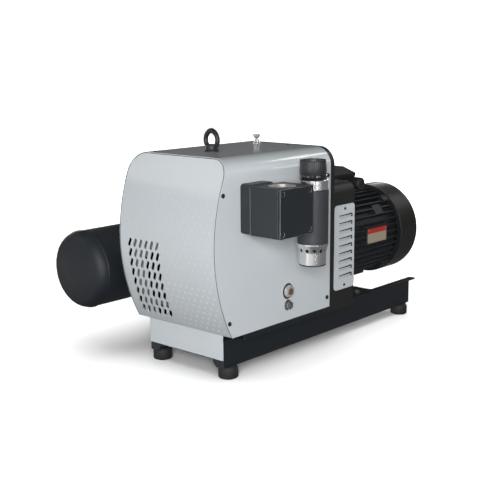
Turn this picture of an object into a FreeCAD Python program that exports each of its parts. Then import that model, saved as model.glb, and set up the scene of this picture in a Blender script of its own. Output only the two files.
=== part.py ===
import FreeCAD, Part
import math
import os
from FreeCAD import Vector, Rotation, Placement

# Claw vacuum pump with a flange motor on a folded steel base.
# Frame: origin on the floor in the middle of the four feet, X to the pump's right,
# Y from the front panel towards the motor, Z up. Sizes in millimetres.

# Feet
FOOT_DIAMETER = 50.0
FOOT_HEIGHT = 30.0
FOOT_FROM_SIDE = 12.0
FOOT_FROM_FRONT = 31.0
FOOT_FROM_REAR = 36.0
FOOT_CHAMFER = 2.0
FOOT_WEB = 2.0
FOOT_BORE = 8.0
STUD_DIAMETER = 10.0
STUD_BITE = 14.0
STUD_ABOVE = 12.0
FOOT_NUT_ACROSS = 16.0
FOOT_NUT_HEIGHT = 8.0

# Base frame
BASE_WIDTH = 260.0
BASE_LENGTH = 839.0
BASE_HEIGHT = 70.0
BASE_STEEL = 3.0
BASE_FOOT_FLANGE = 26.0
BASE_TOP_FLANGE = 24.0
DECK_LENGTH = 666.0
DECK_CORNER = 8.0
TONGUE_LENGTH = 40.0
TONGUE_CORNER = 8.0
GUSSET_WIDTH = 37.0
GUSSET_RADIUS = 20.0
CROSS_MEMBER_DROP = 52.0

# Lower front panel and hood
LOWER_PANEL_DROP = 49.0
HOOD_WIDTH = 333.0
HOOD_HEIGHT = 429.0
HOOD_LENGTH = 385.0
HOOD_LIFT = 17.0
HOOD_OVERHANG = 4.0
HOOD_CORNER = 48.0
HOOD_SHEET = 2.0
HOOD_ARC_RADIUS = 440.0
PANEL_GAP = 0.6
PANEL_RETURN = 16.0
RAIL_STEEL = 3.0
RAIL_CLEARANCE = 2.2
RAIL_HEIGHT = 38.0
RAIL_SETBACK = 44.0
FIT_GAP = 0.3

# Slots of the hood front panel
SLOT_COLUMNS = 6
SLOT_ROWS = 8
SLOT_PITCH_X = 19.8
SLOT_PITCH_ARC = 26.2
SLOT_LENGTH = 23.5
SLOT_WIDTH = 9.0
SLOT_SLANT = 25.0
SLOT_FIRST_X = 129.5
SLOT_FIRST_DROP = 7.0

# Rear cover and louvre plate
COVER_STRIP = 16.5
COVER_BOX_LENGTH = 92.5
COVER_BOX_TOP = 346.0
COVER_BOX_CORNER = 28.0
COVER_SHEET = 2.0
COVER_TUCK = 20.0
LOUVRE_PLATE_LENGTH = 90.0
LOUVRE_PLATE_HEIGHT = 233.0
LOUVRE_PLATE_LIFT = 55.0
LOUVRE_PLATE_CORNER = 10.0
LOUVRE_COUNT = 9
LOUVRE_PITCH = 20.6
LOUVRE_LENGTH = 54.0
LOUVRE_OFFSET = -1.0
LOUVRE_RISE = 4.0
LOUVRE_DROP = 10.0
LOUVRE_SKIN = 1.2
LOUVRE_SLIT = 0.8
LOUVRE_SLIT_END = 2.6
LOUVRE_HOOK_REACH = 8.0
LOUVRE_HOOK_DROP = 6.0
LOUVRE_SCREW_INSET = 11.0
WINDOW_MARGIN = 9.0

# Screws, lifting eye and top knob
HOOD_SCREW_HEAD = 11.0
HOOD_SCREW_RISE = 3.0
HOOD_SCREW_DIAMETER = 6.0
SMALL_SCREW_HEAD = 8.0
SMALL_SCREW_SHANK = 4.0
EYE_OUTER = 57.0
EYE_SECTION = 11.0
EYE_COLLAR = 30.0
EYE_COLLAR_HEIGHT = 17.0
EYE_HEIGHT = 58.0
EYE_TURN = 5.0
EYE_THREAD = 12.0
EYE_X = 0.0
EYE_BEHIND_FACE = 63.0
KNOB_X = -55.0
KNOB_SETBACK = 42.0
KNOB_HEIGHT = 24.0
KNOB_FLANGE = 17.0
KNOB_WAIST = 9.0
KNOB_HEAD = 16.0

# Pump unit
DRIVE_AXIS_HEIGHT = 158.0
CENTRE_DISTANCE = 110.0
ROTOR_TIP_RADIUS = 75.6
ROTOR_CLEARANCE = 0.6
CLAW_TIP_ANGLE = 60.0
CLAW_BACK_ANGLE = 52.0
CLAW_REST_ANGLE = 50.0
CHAMBER_LENGTH = 100.0
CASING_SETBACK = 44.0
CASING_WIDTH = 200.0
CASING_MARGIN = 17.0
CASING_CORNER = 18.0
FRONT_PLATE_THICKNESS = 32.0
REAR_PLATE_THICKNESS = 25.0
FOOT_PAD_LENGTH = 60.0
FOOT_PAD_WIDTH = 50.0
SHAFT_DIAMETER = 30.0
RUNNING_GAP = 0.05
BEARING_OUTER = 62.0
BEARING_WIDTH = 16.0
BEARING_SHOULDER = 6.0
SHAFT_STUB = 4.0
LIFT_BOSS_DIAMETER = 26.0
INLET_BORE = 44.0
INLET_AXIS_RISE = 56.0
INLET_SETBACK = 33.0
EXHAUST_BORE = 52.0
EXHAUST_AXIS_DROP = 26.5

# Gear case, timing gears, oil fittings
GEAR_CASE_LENGTH = 76.0
GEAR_CASE_WALL = 10.0
GEAR_CASE_DEPTH = 123.0
GEAR_COVER_THICKNESS = 12.0
GEAR_MODULE = 5.0
GEAR_TEETH = 22
GEAR_WIDTH = 24.0
GEAR_BACKLASH = 0.5
GEAR_PRESSURE_ANGLE = 20.0
GEAR_SETBACK = 14.0
SEAL_WIDTH = 8.0
SIGHT_DROP = 64.4
SIGHT_FLANGE = 33.0
SIGHT_BORE = 18.0
FITTING_CLEARANCE = 4.0
FITTING_TUCK = 10.0
SIGHT_LENGTH = 14.0
SIGHT_NUT = 27.0
SIGHT_NUT_HEIGHT = 5.0
SIGHT_TAIL = 20.0
DRAIN_LENGTH = 12.0
DRAIN_NUT = 19.0
DRAIN_NUT_HEIGHT = 7.0
DRAIN_SOCKET = 10.0
DRAIN_TAIL = 16.0
DRAIN_DROP = 36.5
DRAIN_FLANGE = 24.0
OIL_BOSS_WALL = 5.0
OIL_FITTING_AHEAD = 2.0

# Cooling fan, coupling and bell housing
BELL_LENGTH = 195.0
BELL_RING = 14.0
BELL_ARM = 24.0
BELL_ARM_INSET = 28.0
BELL_ARM_TURN = 45.0
FAN_DIAMETER = 190.0
FAN_WIDTH = 40.0
FAN_HUB = 60.0
FAN_SETBACK = 22.0
FAN_BLADES = 7
COUPLING_DIAMETER = 80.0
COUPLING_HUB_LENGTH = 36.0
COUPLING_JAW = 16.0
COUPLING_JAWS = 3

# Motor
MOTOR_FLANGE_DIAMETER = 300.0
MOTOR_FLANGE_THICKNESS = 15.0
MOTOR_SPIGOT_INSET = 35.0
MOTOR_SPIGOT_LENGTH = 4.0
MOTOR_BOLT_INSET = 17.5
MOTOR_BOLT_DIAMETER = 14.0
MOTOR_SHIELD_LENGTH = 48.0
MOTOR_FRAME_LENGTH = 284.0
MOTOR_FIN_DIAMETER = 250.0
MOTOR_ROOT_DIAMETER = 218.0
MOTOR_BORE = 194.0
MOTOR_FINS = 40
MOTOR_FIN_THICKNESS = 4.0
MOTOR_SHAFT_DIAMETER = 38.0
MOTOR_SHAFT_LENGTH = 80.0
MOTOR_AIR_GAP = 1.0
MOTOR_ROTOR_DIAMETER = 120.0
MOTOR_ROTOR_LENGTH = 180.0
MOTOR_BEARING_OUTER = 80.0
MOTOR_BEARING_WIDTH = 18.0
REAR_SHIELD_LENGTH = 16.0
REAR_SHIELD_LUG = 30.0
FIN_SETBACK = 5.0
MOTOR_PAD_GAP = 50.0
MOTOR_PAD_DEPTH = 115.0
MOTOR_PAD_WIDTH = 42.0
MOTOR_PAD_LENGTH = 183.0
LUG_WIDTH = 32.0
LUG_LENGTH = 40.0
LUG_SETBACK = 60.0
LUG_TURN = 52.0
PLATE_SEAT_LENGTH = 106.0
PLATE_SEAT_HEIGHT = 54.0
PLATE_SEAT_SETBACK = 68.0
PLATE_SEAT_RISE = 11.0
COWL_DIAMETER = 270.0
COWL_LENGTH = 90.0
COWL_SHEET = 1.5
COWL_CORNER = 10.0
COWL_RINGS = 4
COWL_SLOTS = 8
COWL_SLOT_WIDTH = 9.0
MOTOR_FAN_DIAMETER = 240.0
MOTOR_FAN_WIDTH = 30.0
MOTOR_FAN_BLADES = 7

# Terminal box and cable gland
TERMINAL_PAD_HEIGHT = 127.0
TERMINAL_WIDTH = 116.0
TERMINAL_LENGTH = 126.0
TERMINAL_SETBACK = 22.0
TERMINAL_HEIGHT = 53.0
TERMINAL_WALL = 6.0
LID_RIM = 9.0
LID_RISE = 21.0
LID_SLOPE = 46.0
LID_OVERHANG = 2.0
GLAND_DIAMETER = 37.0
GLAND_BORE = 18.0
GLAND_LENGTH = 38.0
GLAND_DROP = 19.5
GLAND_INSET = 24.0

# Silencer and exhaust pipe
SILENCER_DIAMETER = 204.0
SILENCER_LENGTH = 393.0
SILENCER_WALL = 2.5
SILENCER_DOME = 45.0
SILENCER_KNUCKLE = 30.0
SILENCER_OFFSET_X = 301.5
SILENCER_LEAD = 70.0
SILENCER_WELD = 1.5
OUTLET_BORE = 57.0
OUTLET_DIAMETER = 72.0
OUTLET_LENGTH = 30.0
EXHAUST_PIPE = 60.0
EXHAUST_FLANGE = 92.0
EXHAUST_FLANGE_THICKNESS = 10.0
BRACKET_WIDTH = 40.0
BRACKET_STEEL = 4.0
BRACKET_SETBACK = 240.0

# Inlet adapter, housing, cover and check valve
ADAPTER_THICKNESS = 30.5
ADAPTER_LENGTH = 84.0
ADAPTER_LEAD = 15.0
ADAPTER_STEP = 4.5
ADAPTER_CORNER = 9.0
HOUSING_WIDTH = 83.0
HOUSING_LENGTH = 122.0
HOUSING_HEIGHT = 115.0
HOUSING_WALL = 8.0
HOUSING_EDGE = 2.0
INLET_COVER_THICKNESS = 8.0
INLET_SCREW_INSET = 11.0
INLET_SCREW_HEAD = 10.0
INLET_SCREW_HEAD_HEIGHT = 2.4
INLET_SCREW_SHANK = 6.0
INLET_SCREW_LENGTH = 16.0
INLET_SCREW_KEY = 5.0
COUNTERBORE_DEPTH = 3.0
COUNTERBORE_GAP = 0.3
PORT_BORE = 57.0
PORT_RING_WALL = 4.5
PORT_RING_LENGTH = 24.0
PORT_SETBACK = 63.5
CHECK_DISC_DIAMETER = 52.0
CHECK_DISC_THICKNESS = 4.0
CHECK_POCKET_DIAMETER = 60.0
CHECK_POCKET_DEPTH = 26.0
CHECK_TRAVEL = 10.0
CHECK_WIRE = 1.6

# Vacuum relief valve
VALVE_X = 245.0
VALVE_BEHIND_HOUSING = 54.0
VALVE_SLEEVE_DIAMETER = 77.0
VALVE_SLEEVE_WALL = 7.0
VALVE_SLEEVE_LENGTH = 132.0
VALVE_COLLAR_DIAMETER = 73.0
VALVE_COLLAR_HEIGHT = 25.0
VALVE_CAP_DIAMETER = 66.0
VALVE_CAP_HEIGHT = 47.0
VALVE_CAP_WALL = 3.0
VALVE_CAP_RIBS = 24
VALVE_INTAKE_LENGTH = 55.0
VALVE_INTAKE_FOOT = 66.0
VALVE_INTAKE_TAPER = 22.0
VALVE_INTAKE_HOLES = 12
VALVE_INTAKE_HOLE = 8.5
VALVE_INTAKE_HOLE_DROP = 16.0
VALVE_INTAKE_WALL = 5.0
VALVE_SEAT_THICKNESS = 8.0
VALVE_INTAKE_RIM = 3.0
VALVE_SEAT_BORE = 36.0
VALVE_POPPET_DIAMETER = 50.0
VALVE_POPPET_THICKNESS = 5.0
VALVE_STEM = 8.0
VALVE_TRAVEL = 8.0
VALVE_WIRE = 2.4
VALVE_NECK_DIAMETER = 40.0
VALVE_NECK_BORE = 28.0
VALVE_TOP_ABOVE_HOUSING = 52.0

# Steps to a turn of a coil spring
SPRING_STEPS = 12

# Derived places
FOOT_SPACING_X = BASE_WIDTH - 2 * FOOT_FROM_SIDE
FOOT_SPACING_Y = BASE_LENGTH - FOOT_FROM_FRONT - FOOT_FROM_REAR
BASE_FRONT = -(FOOT_SPACING_Y / 2 + FOOT_FROM_FRONT)
BASE_REAR = BASE_FRONT + BASE_LENGTH
BASE_BOTTOM = FOOT_HEIGHT
BASE_TOP = BASE_BOTTOM + BASE_HEIGHT
HOOD_BOTTOM = BASE_TOP + HOOD_LIFT
HOOD_TOP = HOOD_BOTTOM + HOOD_HEIGHT
HOOD_FRONT = BASE_FRONT - HOOD_OVERHANG
HOOD_REAR = HOOD_FRONT + HOOD_LENGTH
HOOD_SIDE = HOOD_WIDTH / 2
HOOD_MIDDLE = (HOOD_BOTTOM + HOOD_TOP) / 2
ARC_CENTRE_Y = HOOD_FRONT + math.sqrt(HOOD_ARC_RADIUS ** 2 - (HOOD_HEIGHT / 2) ** 2)
DRIVE_Z = BASE_TOP + DRIVE_AXIS_HEIGHT
DRIVEN_Z = DRIVE_Z + CENTRE_DISTANCE
CASING_FRONT = BASE_FRONT + CASING_SETBACK
CASING_REAR = CASING_FRONT + CHAMBER_LENGTH
CASING_MIDDLE = (CASING_FRONT + CASING_REAR) / 2
CASING_SIDE = CASING_WIDTH / 2
EYE_Y = CASING_FRONT + EYE_BEHIND_FACE
CASING_BOTTOM = DRIVE_Z - ROTOR_TIP_RADIUS - CASING_MARGIN
CASING_TOP = DRIVEN_Z + ROTOR_TIP_RADIUS + CASING_MARGIN
FRONT_PLATE_FRONT = CASING_FRONT - FRONT_PLATE_THICKNESS
FRONT_BEARING_Y = CASING_FRONT - BEARING_SHOULDER - BEARING_WIDTH
GEAR_CASE_FRONT = CASING_REAR + REAR_PLATE_THICKNESS
GEAR_CASE_REAR = GEAR_CASE_FRONT + GEAR_CASE_LENGTH
GEAR_CASE_BOTTOM = DRIVE_Z - GEAR_CASE_DEPTH
GEAR_FRONT = GEAR_CASE_FRONT + GEAR_SETBACK
GEAR_COVER_REAR = GEAR_CASE_REAR + GEAR_COVER_THICKNESS
MOTOR_FACE = GEAR_COVER_REAR + BELL_LENGTH
MOTOR_FRAME_FRONT = MOTOR_FACE + MOTOR_SHIELD_LENGTH
MOTOR_FRAME_REAR = MOTOR_FRAME_FRONT + MOTOR_FRAME_LENGTH
COVER_STRIP_REAR = HOOD_REAR + COVER_STRIP
COVER_BOX_REAR = COVER_STRIP_REAR + COVER_BOX_LENGTH
COVER_TOP = BASE_TOP + COVER_BOX_TOP
SHAFT_RADIUS = SHAFT_DIAMETER / 2
CHAMBER_RADIUS = ROTOR_TIP_RADIUS + ROTOR_CLEARANCE
ROTOR_ROOT_RADIUS = CENTRE_DISTANCE - ROTOR_TIP_RADIUS - ROTOR_CLEARANCE
OIL_FITTING_Y = (GEAR_CASE_FRONT + GEAR_CASE_REAR) / 2 - OIL_FITTING_AHEAD
INLET_Y = CASING_FRONT + INLET_SETBACK
INLET_Z = DRIVEN_Z + INLET_AXIS_RISE
EXHAUST_Z = DRIVE_Z - EXHAUST_AXIS_DROP
ADAPTER_FRONT = CASING_FRONT - ADAPTER_LEAD
HOUSING_LEFT = HOOD_SIDE + ADAPTER_THICKNESS
HOUSING_RIGHT = HOUSING_LEFT + HOUSING_WIDTH
HOUSING_REAR = ADAPTER_FRONT + HOUSING_LENGTH
HOUSING_BOTTOM = INLET_Z - HOUSING_HEIGHT / 2
HOUSING_TOP = INLET_Z + HOUSING_HEIGHT / 2
VALVE_Y = HOUSING_REAR + VALVE_BEHIND_HOUSING
VALVE_CAP_TOP = HOUSING_TOP + VALVE_TOP_ABOVE_HOUSING
VALVE_COLLAR_TOP = VALVE_CAP_TOP - VALVE_CAP_HEIGHT
VALVE_SLEEVE_TOP = VALVE_COLLAR_TOP - VALVE_COLLAR_HEIGHT
VALVE_SEAT = VALVE_SLEEVE_TOP - VALVE_SLEEVE_LENGTH
SILENCER_FRONT = BASE_FRONT - SILENCER_LEAD
SILENCER_REAR = SILENCER_FRONT + SILENCER_LENGTH
SILENCER_X = -SILENCER_OFFSET_X
SILENCER_RADIUS = SILENCER_DIAMETER / 2

X_AXIS = Vector(1, 0, 0)
Y_AXIS = Vector(0, 1, 0)
Z_AXIS = Vector(0, 0, 1)


# Building blocks
def block(x0, x1, y0, y1, z0, z1):
    return Part.makeBox(x1 - x0, y1 - y0, z1 - z0, Vector(x0, y0, z0))


def rod(start, axis, radius, length):
    return Part.makeCylinder(radius, length, start, axis)


def ring(start, axis, outer, inner, length):
    return rod(start, axis, outer, length).cut(rod(start, axis, inner, length))


def bar_y(x, z, radius, y0, y1):
    return rod(Vector(x, y0, z), Y_AXIS, radius, y1 - y0)


def ring_y(x, z, outer, inner, y0, y1):
    return ring(Vector(x, y0, z), Y_AXIS, outer, inner, y1 - y0)


def prism(points, direction):
    wire = Part.makePolygon(points + [points[0]])
    return Part.Face(wire).extrude(direction)


def hexagon(centre, axis, across, height):
    radius = across / math.sqrt(3)
    side = axis.cross(Vector(0.3, 0.5, 0.8)).normalize()
    other = axis.cross(side)
    points = []
    for step in range(6):
        turn = math.radians(60 * step)
        points.append(centre + side * (radius * math.cos(turn)) + other * (radius * math.sin(turn)))
    return prism(points, axis * height)


def rounded_plate(x0, x1, z0, z1, radius, y0, y1):
    plate = block(x0, x1, y0, y1, z0, z1)
    edges = [e for e in plate.Edges if abs(e.tangentAt(e.FirstParameter).y) > 0.99]
    return plate.makeFillet(radius, edges)


def union(shapes):
    return shapes[0].multiFuse(shapes[1:]).removeSplitter()


def turned_about_y(shape, x, z, degrees):
    copy = shape.copy()
    copy.rotate(Vector(x, 0, z), Y_AXIS, degrees)
    return copy


def revolve(profile, origin, axis):
    wire = Part.makePolygon(profile + [profile[0]])
    return Part.Face(wire).revolve(origin, axis, 360)


# Hood outline in a plane across the pump: flat sides, rounded top corners, open bottom
def hood_solid(inset, y0, y1, bottom):
    side = HOOD_SIDE - inset
    top = HOOD_TOP - inset
    corner = HOOD_CORNER - inset
    body = block(-side, side, y0, y1, bottom, top)
    edges = []
    for edge in body.Edges:
        along_y = abs(edge.tangentAt(edge.FirstParameter).y) > 0.99
        if along_y and edge.CenterOfMass.z > top - 1:
            edges.append(edge)
    return body.makeFillet(corner, edges)


def arc_drum(inset):
    axis_start = Vector(-HOOD_WIDTH, ARC_CENTRE_Y, HOOD_MIDDLE)
    return rod(axis_start, X_AXIS, HOOD_ARC_RADIUS - inset, 2 * HOOD_WIDTH)


def arc_y(z):
    return ARC_CENTRE_Y - math.sqrt(HOOD_ARC_RADIUS ** 2 - (z - HOOD_MIDDLE) ** 2)


# Coil spring of fine straight steps, wire with six sides
def helix_spring(start, axis, mean_radius, wire_radius, length, turns):
    rise = length - 2 * wire_radius
    steps = turns * SPRING_STEPS
    path = []
    for index in range(steps + 1):
        turn = 2 * math.pi * index / SPRING_STEPS
        height = wire_radius + rise * index / steps
        path.append(Vector(mean_radius * math.cos(turn), mean_radius * math.sin(turn), height))
    section = []
    for corner in range(6):
        turn = math.radians(60 * corner + 30)
        offset = Vector(math.cos(turn), 0, math.sin(turn)) * wire_radius
        section.append(Vector(mean_radius, 0, wire_radius) + offset)
    outline = Part.makePolygon(section + [section[0]])
    coil = Part.Wire(Part.makePolygon(path)).makePipeShell([outline], True, True, 1)
    coil.Placement = Placement(start, Rotation(Z_AXIS, axis)).multiply(coil.Placement)
    return coil


# Base: webs, deck, flanges, cross member, gussets
def base_frame():
    side = BASE_WIDTH / 2
    steel = BASE_STEEL
    # The deck and its rear flanges, outline in plan
    inner = side - BASE_TOP_FLANGE
    deck_end = BASE_FRONT + DECK_LENGTH
    front = BASE_FRONT + HOOD_SHEET
    tongue_end = BASE_REAR + TONGUE_LENGTH
    deck = block(-side, side, front, tongue_end, BASE_TOP - steel, BASE_TOP)
    opening = block(-inner, inner, deck_end, tongue_end, BASE_TOP - steel, BASE_TOP)
    corners = []
    for edge in opening.Edges:
        upright = abs(edge.tangentAt(edge.FirstParameter).z) > 0.99
        if upright and edge.CenterOfMass.y < deck_end + 1:
            corners.append(edge)
    deck = deck.cut(opening.makeFillet(DECK_CORNER, corners))
    tips = []
    for edge in deck.Edges:
        upright = abs(edge.tangentAt(edge.FirstParameter).z) > 0.99
        if upright and edge.CenterOfMass.y > tongue_end - 1:
            tips.append(edge)
    deck = deck.makeFillet(TONGUE_CORNER, tips)
    pieces = [deck]
    for sign in (-1, 1):
        outer = sign * side
        web_in = sign * (side - steel)
        low, high = sorted((outer, web_in))
        pieces.append(block(low, high, front, BASE_REAR, BASE_BOTTOM, BASE_TOP))
        low, high = sorted((outer, sign * (side - BASE_FOOT_FLANGE)))
        pieces.append(block(low, high, front, BASE_REAR, BASE_BOTTOM, BASE_BOTTOM + steel))
        # Gusset with a rounded inner lower corner under the cross member
        low, high = sorted((outer, sign * (side - GUSSET_WIDTH)))
        gusset = block(low, high, front, front + steel, BASE_BOTTOM, BASE_TOP)
        rounded = []
        for edge in gusset.Edges:
            along_y = abs(edge.tangentAt(edge.FirstParameter).y) > 0.99
            middle = edge.CenterOfMass
            if along_y and middle.z < BASE_BOTTOM + 1 and abs(middle.x) < side - GUSSET_WIDTH + 1:
                rounded.append(edge)
        pieces.append(gusset.makeFillet(min(GUSSET_RADIUS, GUSSET_WIDTH - 2 * steel), rounded))
    cross_bottom = BASE_TOP - CROSS_MEMBER_DROP
    pieces.append(block(-side, side, front, front + steel, cross_bottom, BASE_TOP))
    pieces.append(block(-side, side, deck_end - steel, deck_end, cross_bottom, BASE_TOP))
    frame = union(pieces)
    for x, y in foot_places():
        frame = frame.cut(rod(Vector(x, y, BASE_BOTTOM), Z_AXIS, STUD_DIAMETER / 2 + FIT_GAP, steel))
    return frame


def foot_places():
    places = []
    for x in (-FOOT_SPACING_X / 2, FOOT_SPACING_X / 2):
        for y in (-FOOT_SPACING_Y / 2, FOOT_SPACING_Y / 2):
            places.append((x, y))
    return places


def rubber_feet():
    feet = []
    for x, y in foot_places():
        foot = rod(Vector(x, y, 0), Z_AXIS, FOOT_DIAMETER / 2, FOOT_HEIGHT)
        foot = foot.makeChamfer(FOOT_CHAMFER, [e for e in foot.Edges if e.CenterOfMass.z < 0.1])
        seat = FOOT_HEIGHT - STUD_BITE
        below = rod(Vector(x, y, 0), Z_AXIS, FOOT_BORE / 2, seat - FOOT_WEB)
        above = rod(Vector(x, y, seat), Z_AXIS, STUD_DIAMETER / 2, STUD_BITE)
        feet.append(foot.cut([below, above]))
    return Part.makeCompound(feet)


def foot_studs():
    pieces = []
    for x, y in foot_places():
        bottom = FOOT_HEIGHT - STUD_BITE
        length = STUD_BITE + BASE_STEEL + STUD_ABOVE
        pieces.append(rod(Vector(x, y, bottom), Z_AXIS, STUD_DIAMETER / 2, length))
        seat = Vector(x, y, FOOT_HEIGHT + BASE_STEEL)
        nut = hexagon(seat, Z_AXIS, FOOT_NUT_ACROSS, FOOT_NUT_HEIGHT)
        pieces.append(nut.cut(rod(seat, Z_AXIS, STUD_DIAMETER / 2, FOOT_NUT_HEIGHT)))
    return Part.makeCompound(pieces)


def lower_front_panel():
    side = BASE_WIDTH / 2
    bottom = BASE_TOP - LOWER_PANEL_DROP
    return block(-side, side, BASE_FRONT, BASE_FRONT + HOOD_SHEET, bottom, HOOD_BOTTOM - FIT_GAP)


# Hood: rails, shell, front panel
def hood_rails():
    rails = []
    front = HOOD_FRONT + RAIL_SETBACK
    rear = HOOD_REAR - COVER_TUCK - 1
    face = HOOD_SIDE - HOOD_SHEET - FIT_GAP
    inner = CASING_SIDE + RAIL_CLEARANCE
    for sign in (-1, 1):
        low, high = sorted((sign * face, sign * inner))
        leg = block(low, high, front, rear, BASE_TOP, BASE_TOP + RAIL_STEEL)
        low, high = sorted((sign * face, sign * (face - RAIL_STEEL)))
        wall = block(low, high, front, rear, BASE_TOP, BASE_TOP + RAIL_HEIGHT)
        rails.append(union([leg, wall]))
    return Part.makeCompound(rails)


# Screw places on the hood's sides as (Y, Z), front panel pair then rear cover pair
def side_screw_places():
    low = HOOD_BOTTOM + 38
    high = HOOD_TOP - 82
    front_low = (arc_y(low) + PANEL_RETURN * 0.55, low)
    front_high = (arc_y(high) + PANEL_RETURN * 0.55, high)
    rear = HOOD_REAR - COVER_TUCK * 0.62
    return [front_low, front_high, (rear, low - 10), (rear, high + 10)]


def top_screw_places():
    front = HOOD_FRONT + PANEL_RETURN * 0.7
    rear = HOOD_REAR - COVER_TUCK * 0.62
    reach = HOOD_SIDE - HOOD_CORNER - 18
    return [(-reach, front), (reach * 0.3, rear)]


def side_screw_holes(radius):
    holes = []
    for y, z in side_screw_places():
        holes.append(rod(Vector(-HOOD_WIDTH, y, z), X_AXIS, radius, 2 * HOOD_WIDTH))
    return holes


def top_screw_holes(radius):
    holes = []
    for x, y in top_screw_places():
        holes.append(rod(Vector(x, y, HOOD_TOP - HOOD_CORNER), Z_AXIS, radius, 2 * HOOD_CORNER))
    return holes


def hood_shell():
    front = ARC_CENTRE_Y - HOOD_ARC_RADIUS
    outer = hood_solid(0, front, HOOD_REAR, HOOD_BOTTOM)
    inner = hood_solid(HOOD_SHEET, front - 1, HOOD_REAR + 1, HOOD_BOTTOM - 1)
    drum = arc_drum(0)
    behind = block(-HOOD_SIDE, HOOD_SIDE, ARC_CENTRE_Y, HOOD_REAR, HOOD_BOTTOM, HOOD_TOP)
    keep = drum if HOOD_REAR <= ARC_CENTRE_Y else union([drum, behind])
    shell = outer.cut(inner).common(keep)
    cuts = side_screw_holes(HOOD_SCREW_DIAMETER / 2) + top_screw_holes(SMALL_SCREW_SHANK / 2)
    side_start = HOOD_SIDE - 2 * HOOD_SHEET
    through = 4 * HOOD_SHEET
    sight = Vector(side_start, OIL_FITTING_Y, DRIVE_Z - SIGHT_DROP)
    cuts.append(rod(sight, X_AXIS, SIGHT_FLANGE / 2 + FITTING_CLEARANCE, through))
    drain = sight - Z_AXIS * DRAIN_DROP
    cuts.append(rod(drain, X_AXIS, DRAIN_FLANGE / 2 + FITTING_CLEARANCE / 2, through))
    duct = Vector(side_start, INLET_Y, INLET_Z)
    cuts.append(rod(duct, X_AXIS, INLET_BORE / 2 + HOUSING_WALL + 2, through))
    pipe = Vector(-HOOD_SIDE - HOOD_SHEET, CASING_MIDDLE, EXHAUST_Z)
    cuts.append(rod(pipe, X_AXIS, EXHAUST_PIPE / 2 + 4, through))
    eye = Vector(EYE_X, EYE_Y, HOOD_TOP - 2 * HOOD_SHEET)
    cuts.append(rod(eye, Z_AXIS, LIFT_BOSS_DIAMETER / 2, through))
    knob = Vector(KNOB_X, HOOD_REAR - KNOB_SETBACK, HOOD_TOP - 2 * HOOD_SHEET)
    cuts.append(rod(knob, Z_AXIS, KNOB_WAIST / 2, through))
    return shell.cut(cuts)


def slot_cutters():
    cutters = []
    lean = math.radians(SLOT_SLANT)
    half = (SLOT_LENGTH - SLOT_WIDTH) / 2
    depth = 12 * HOOD_SHEET
    for column in range(SLOT_COLUMNS):
        x = -SLOT_FIRST_X + column * SLOT_PITCH_X
        for row in range(SLOT_ROWS):
            turn = (SLOT_FIRST_DROP + row * SLOT_PITCH_ARC) / HOOD_ARC_RADIUS
            normal = Vector(0, math.cos(turn), math.sin(turn))
            up = Vector(0, -math.sin(turn), math.cos(turn))
            centre = Vector(x, ARC_CENTRE_Y, HOOD_MIDDLE) - normal * (HOOD_ARC_RADIUS + depth / 2)
            along = X_AXIS * math.sin(lean) + up * math.cos(lean)
            across = X_AXIS * math.cos(lean) - up * math.sin(lean)
            radius = SLOT_WIDTH / 2
            a = centre - along * half + across * radius
            b = centre + along * half + across * radius
            c = centre + along * half - across * radius
            d = centre - along * half - across * radius
            top = centre + along * (half + radius)
            bottom = centre - along * (half + radius)
            edges = [Part.makeLine(a, b), Part.Arc(b, top, c).toShape()]
            edges += [Part.makeLine(c, d), Part.Arc(d, bottom, a).toShape()]
            cutters.append(Part.Face(Part.Wire(edges)).extrude(normal * depth))
    return cutters


def hood_front_panel():
    inset = HOOD_SHEET + PANEL_GAP
    front = ARC_CENTRE_Y - HOOD_ARC_RADIUS
    outline = hood_solid(inset, front, ARC_CENTRE_Y, HOOD_BOTTOM)
    hollow = hood_solid(inset + HOOD_SHEET, front - 1, ARC_CENTRE_Y + 1, HOOD_BOTTOM + HOOD_SHEET)
    skin = arc_drum(0).cut(arc_drum(HOOD_SHEET)).common(outline)
    # The rim turns back all round, deep enough to take the side screws
    rim_zone = arc_drum(HOOD_SHEET).cut(arc_drum(PANEL_RETURN))
    rim = outline.cut(hollow).common(rim_zone)
    panel = skin.fuse(rim)
    limit = block(-HOOD_WIDTH, HOOD_WIDTH, front - 1, HOOD_FRONT + 60, HOOD_BOTTOM, HOOD_TOP)
    panel = panel.common(limit).cut(slot_cutters())
    holes = side_screw_holes(HOOD_SCREW_DIAMETER / 2) + top_screw_holes(SMALL_SCREW_SHANK / 2)[:1]
    return panel.cut(holes).removeSplitter()


def dome_screw(seat, axis, head, rise, shank, length):
    cap = rod(seat, axis, head / 2, rise)
    rim = [e for e in cap.Edges if (e.CenterOfMass - seat).dot(axis) > rise - 0.01]
    cap = cap.makeChamfer(rise * 0.5, rim)
    return cap.fuse(rod(seat - axis * length, axis, shank / 2, length))


def hood_screws():
    screws = []
    grip = HOOD_SHEET * 2 + PANEL_GAP + 4
    for y, z in side_screw_places():
        for sign in (-1, 1):
            seat = Vector(sign * HOOD_SIDE, y, z)
            axis = X_AXIS * sign
            screws.append(dome_screw(seat, axis, HOOD_SCREW_HEAD, HOOD_SCREW_RISE, HOOD_SCREW_DIAMETER, grip))
    for x, y in top_screw_places():
        seat = Vector(x, y, HOOD_TOP)
        screws.append(dome_screw(seat, Z_AXIS, SMALL_SCREW_HEAD, 2, SMALL_SCREW_SHANK, grip))
    for z in louvre_screw_heights():
        seat = Vector(HOOD_SIDE + HOOD_SHEET, louvre_middle(), z)
        screws.append(dome_screw(seat, X_AXIS, SMALL_SCREW_HEAD, 2, SMALL_SCREW_SHANK, grip))
    return Part.makeCompound(screws)


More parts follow.
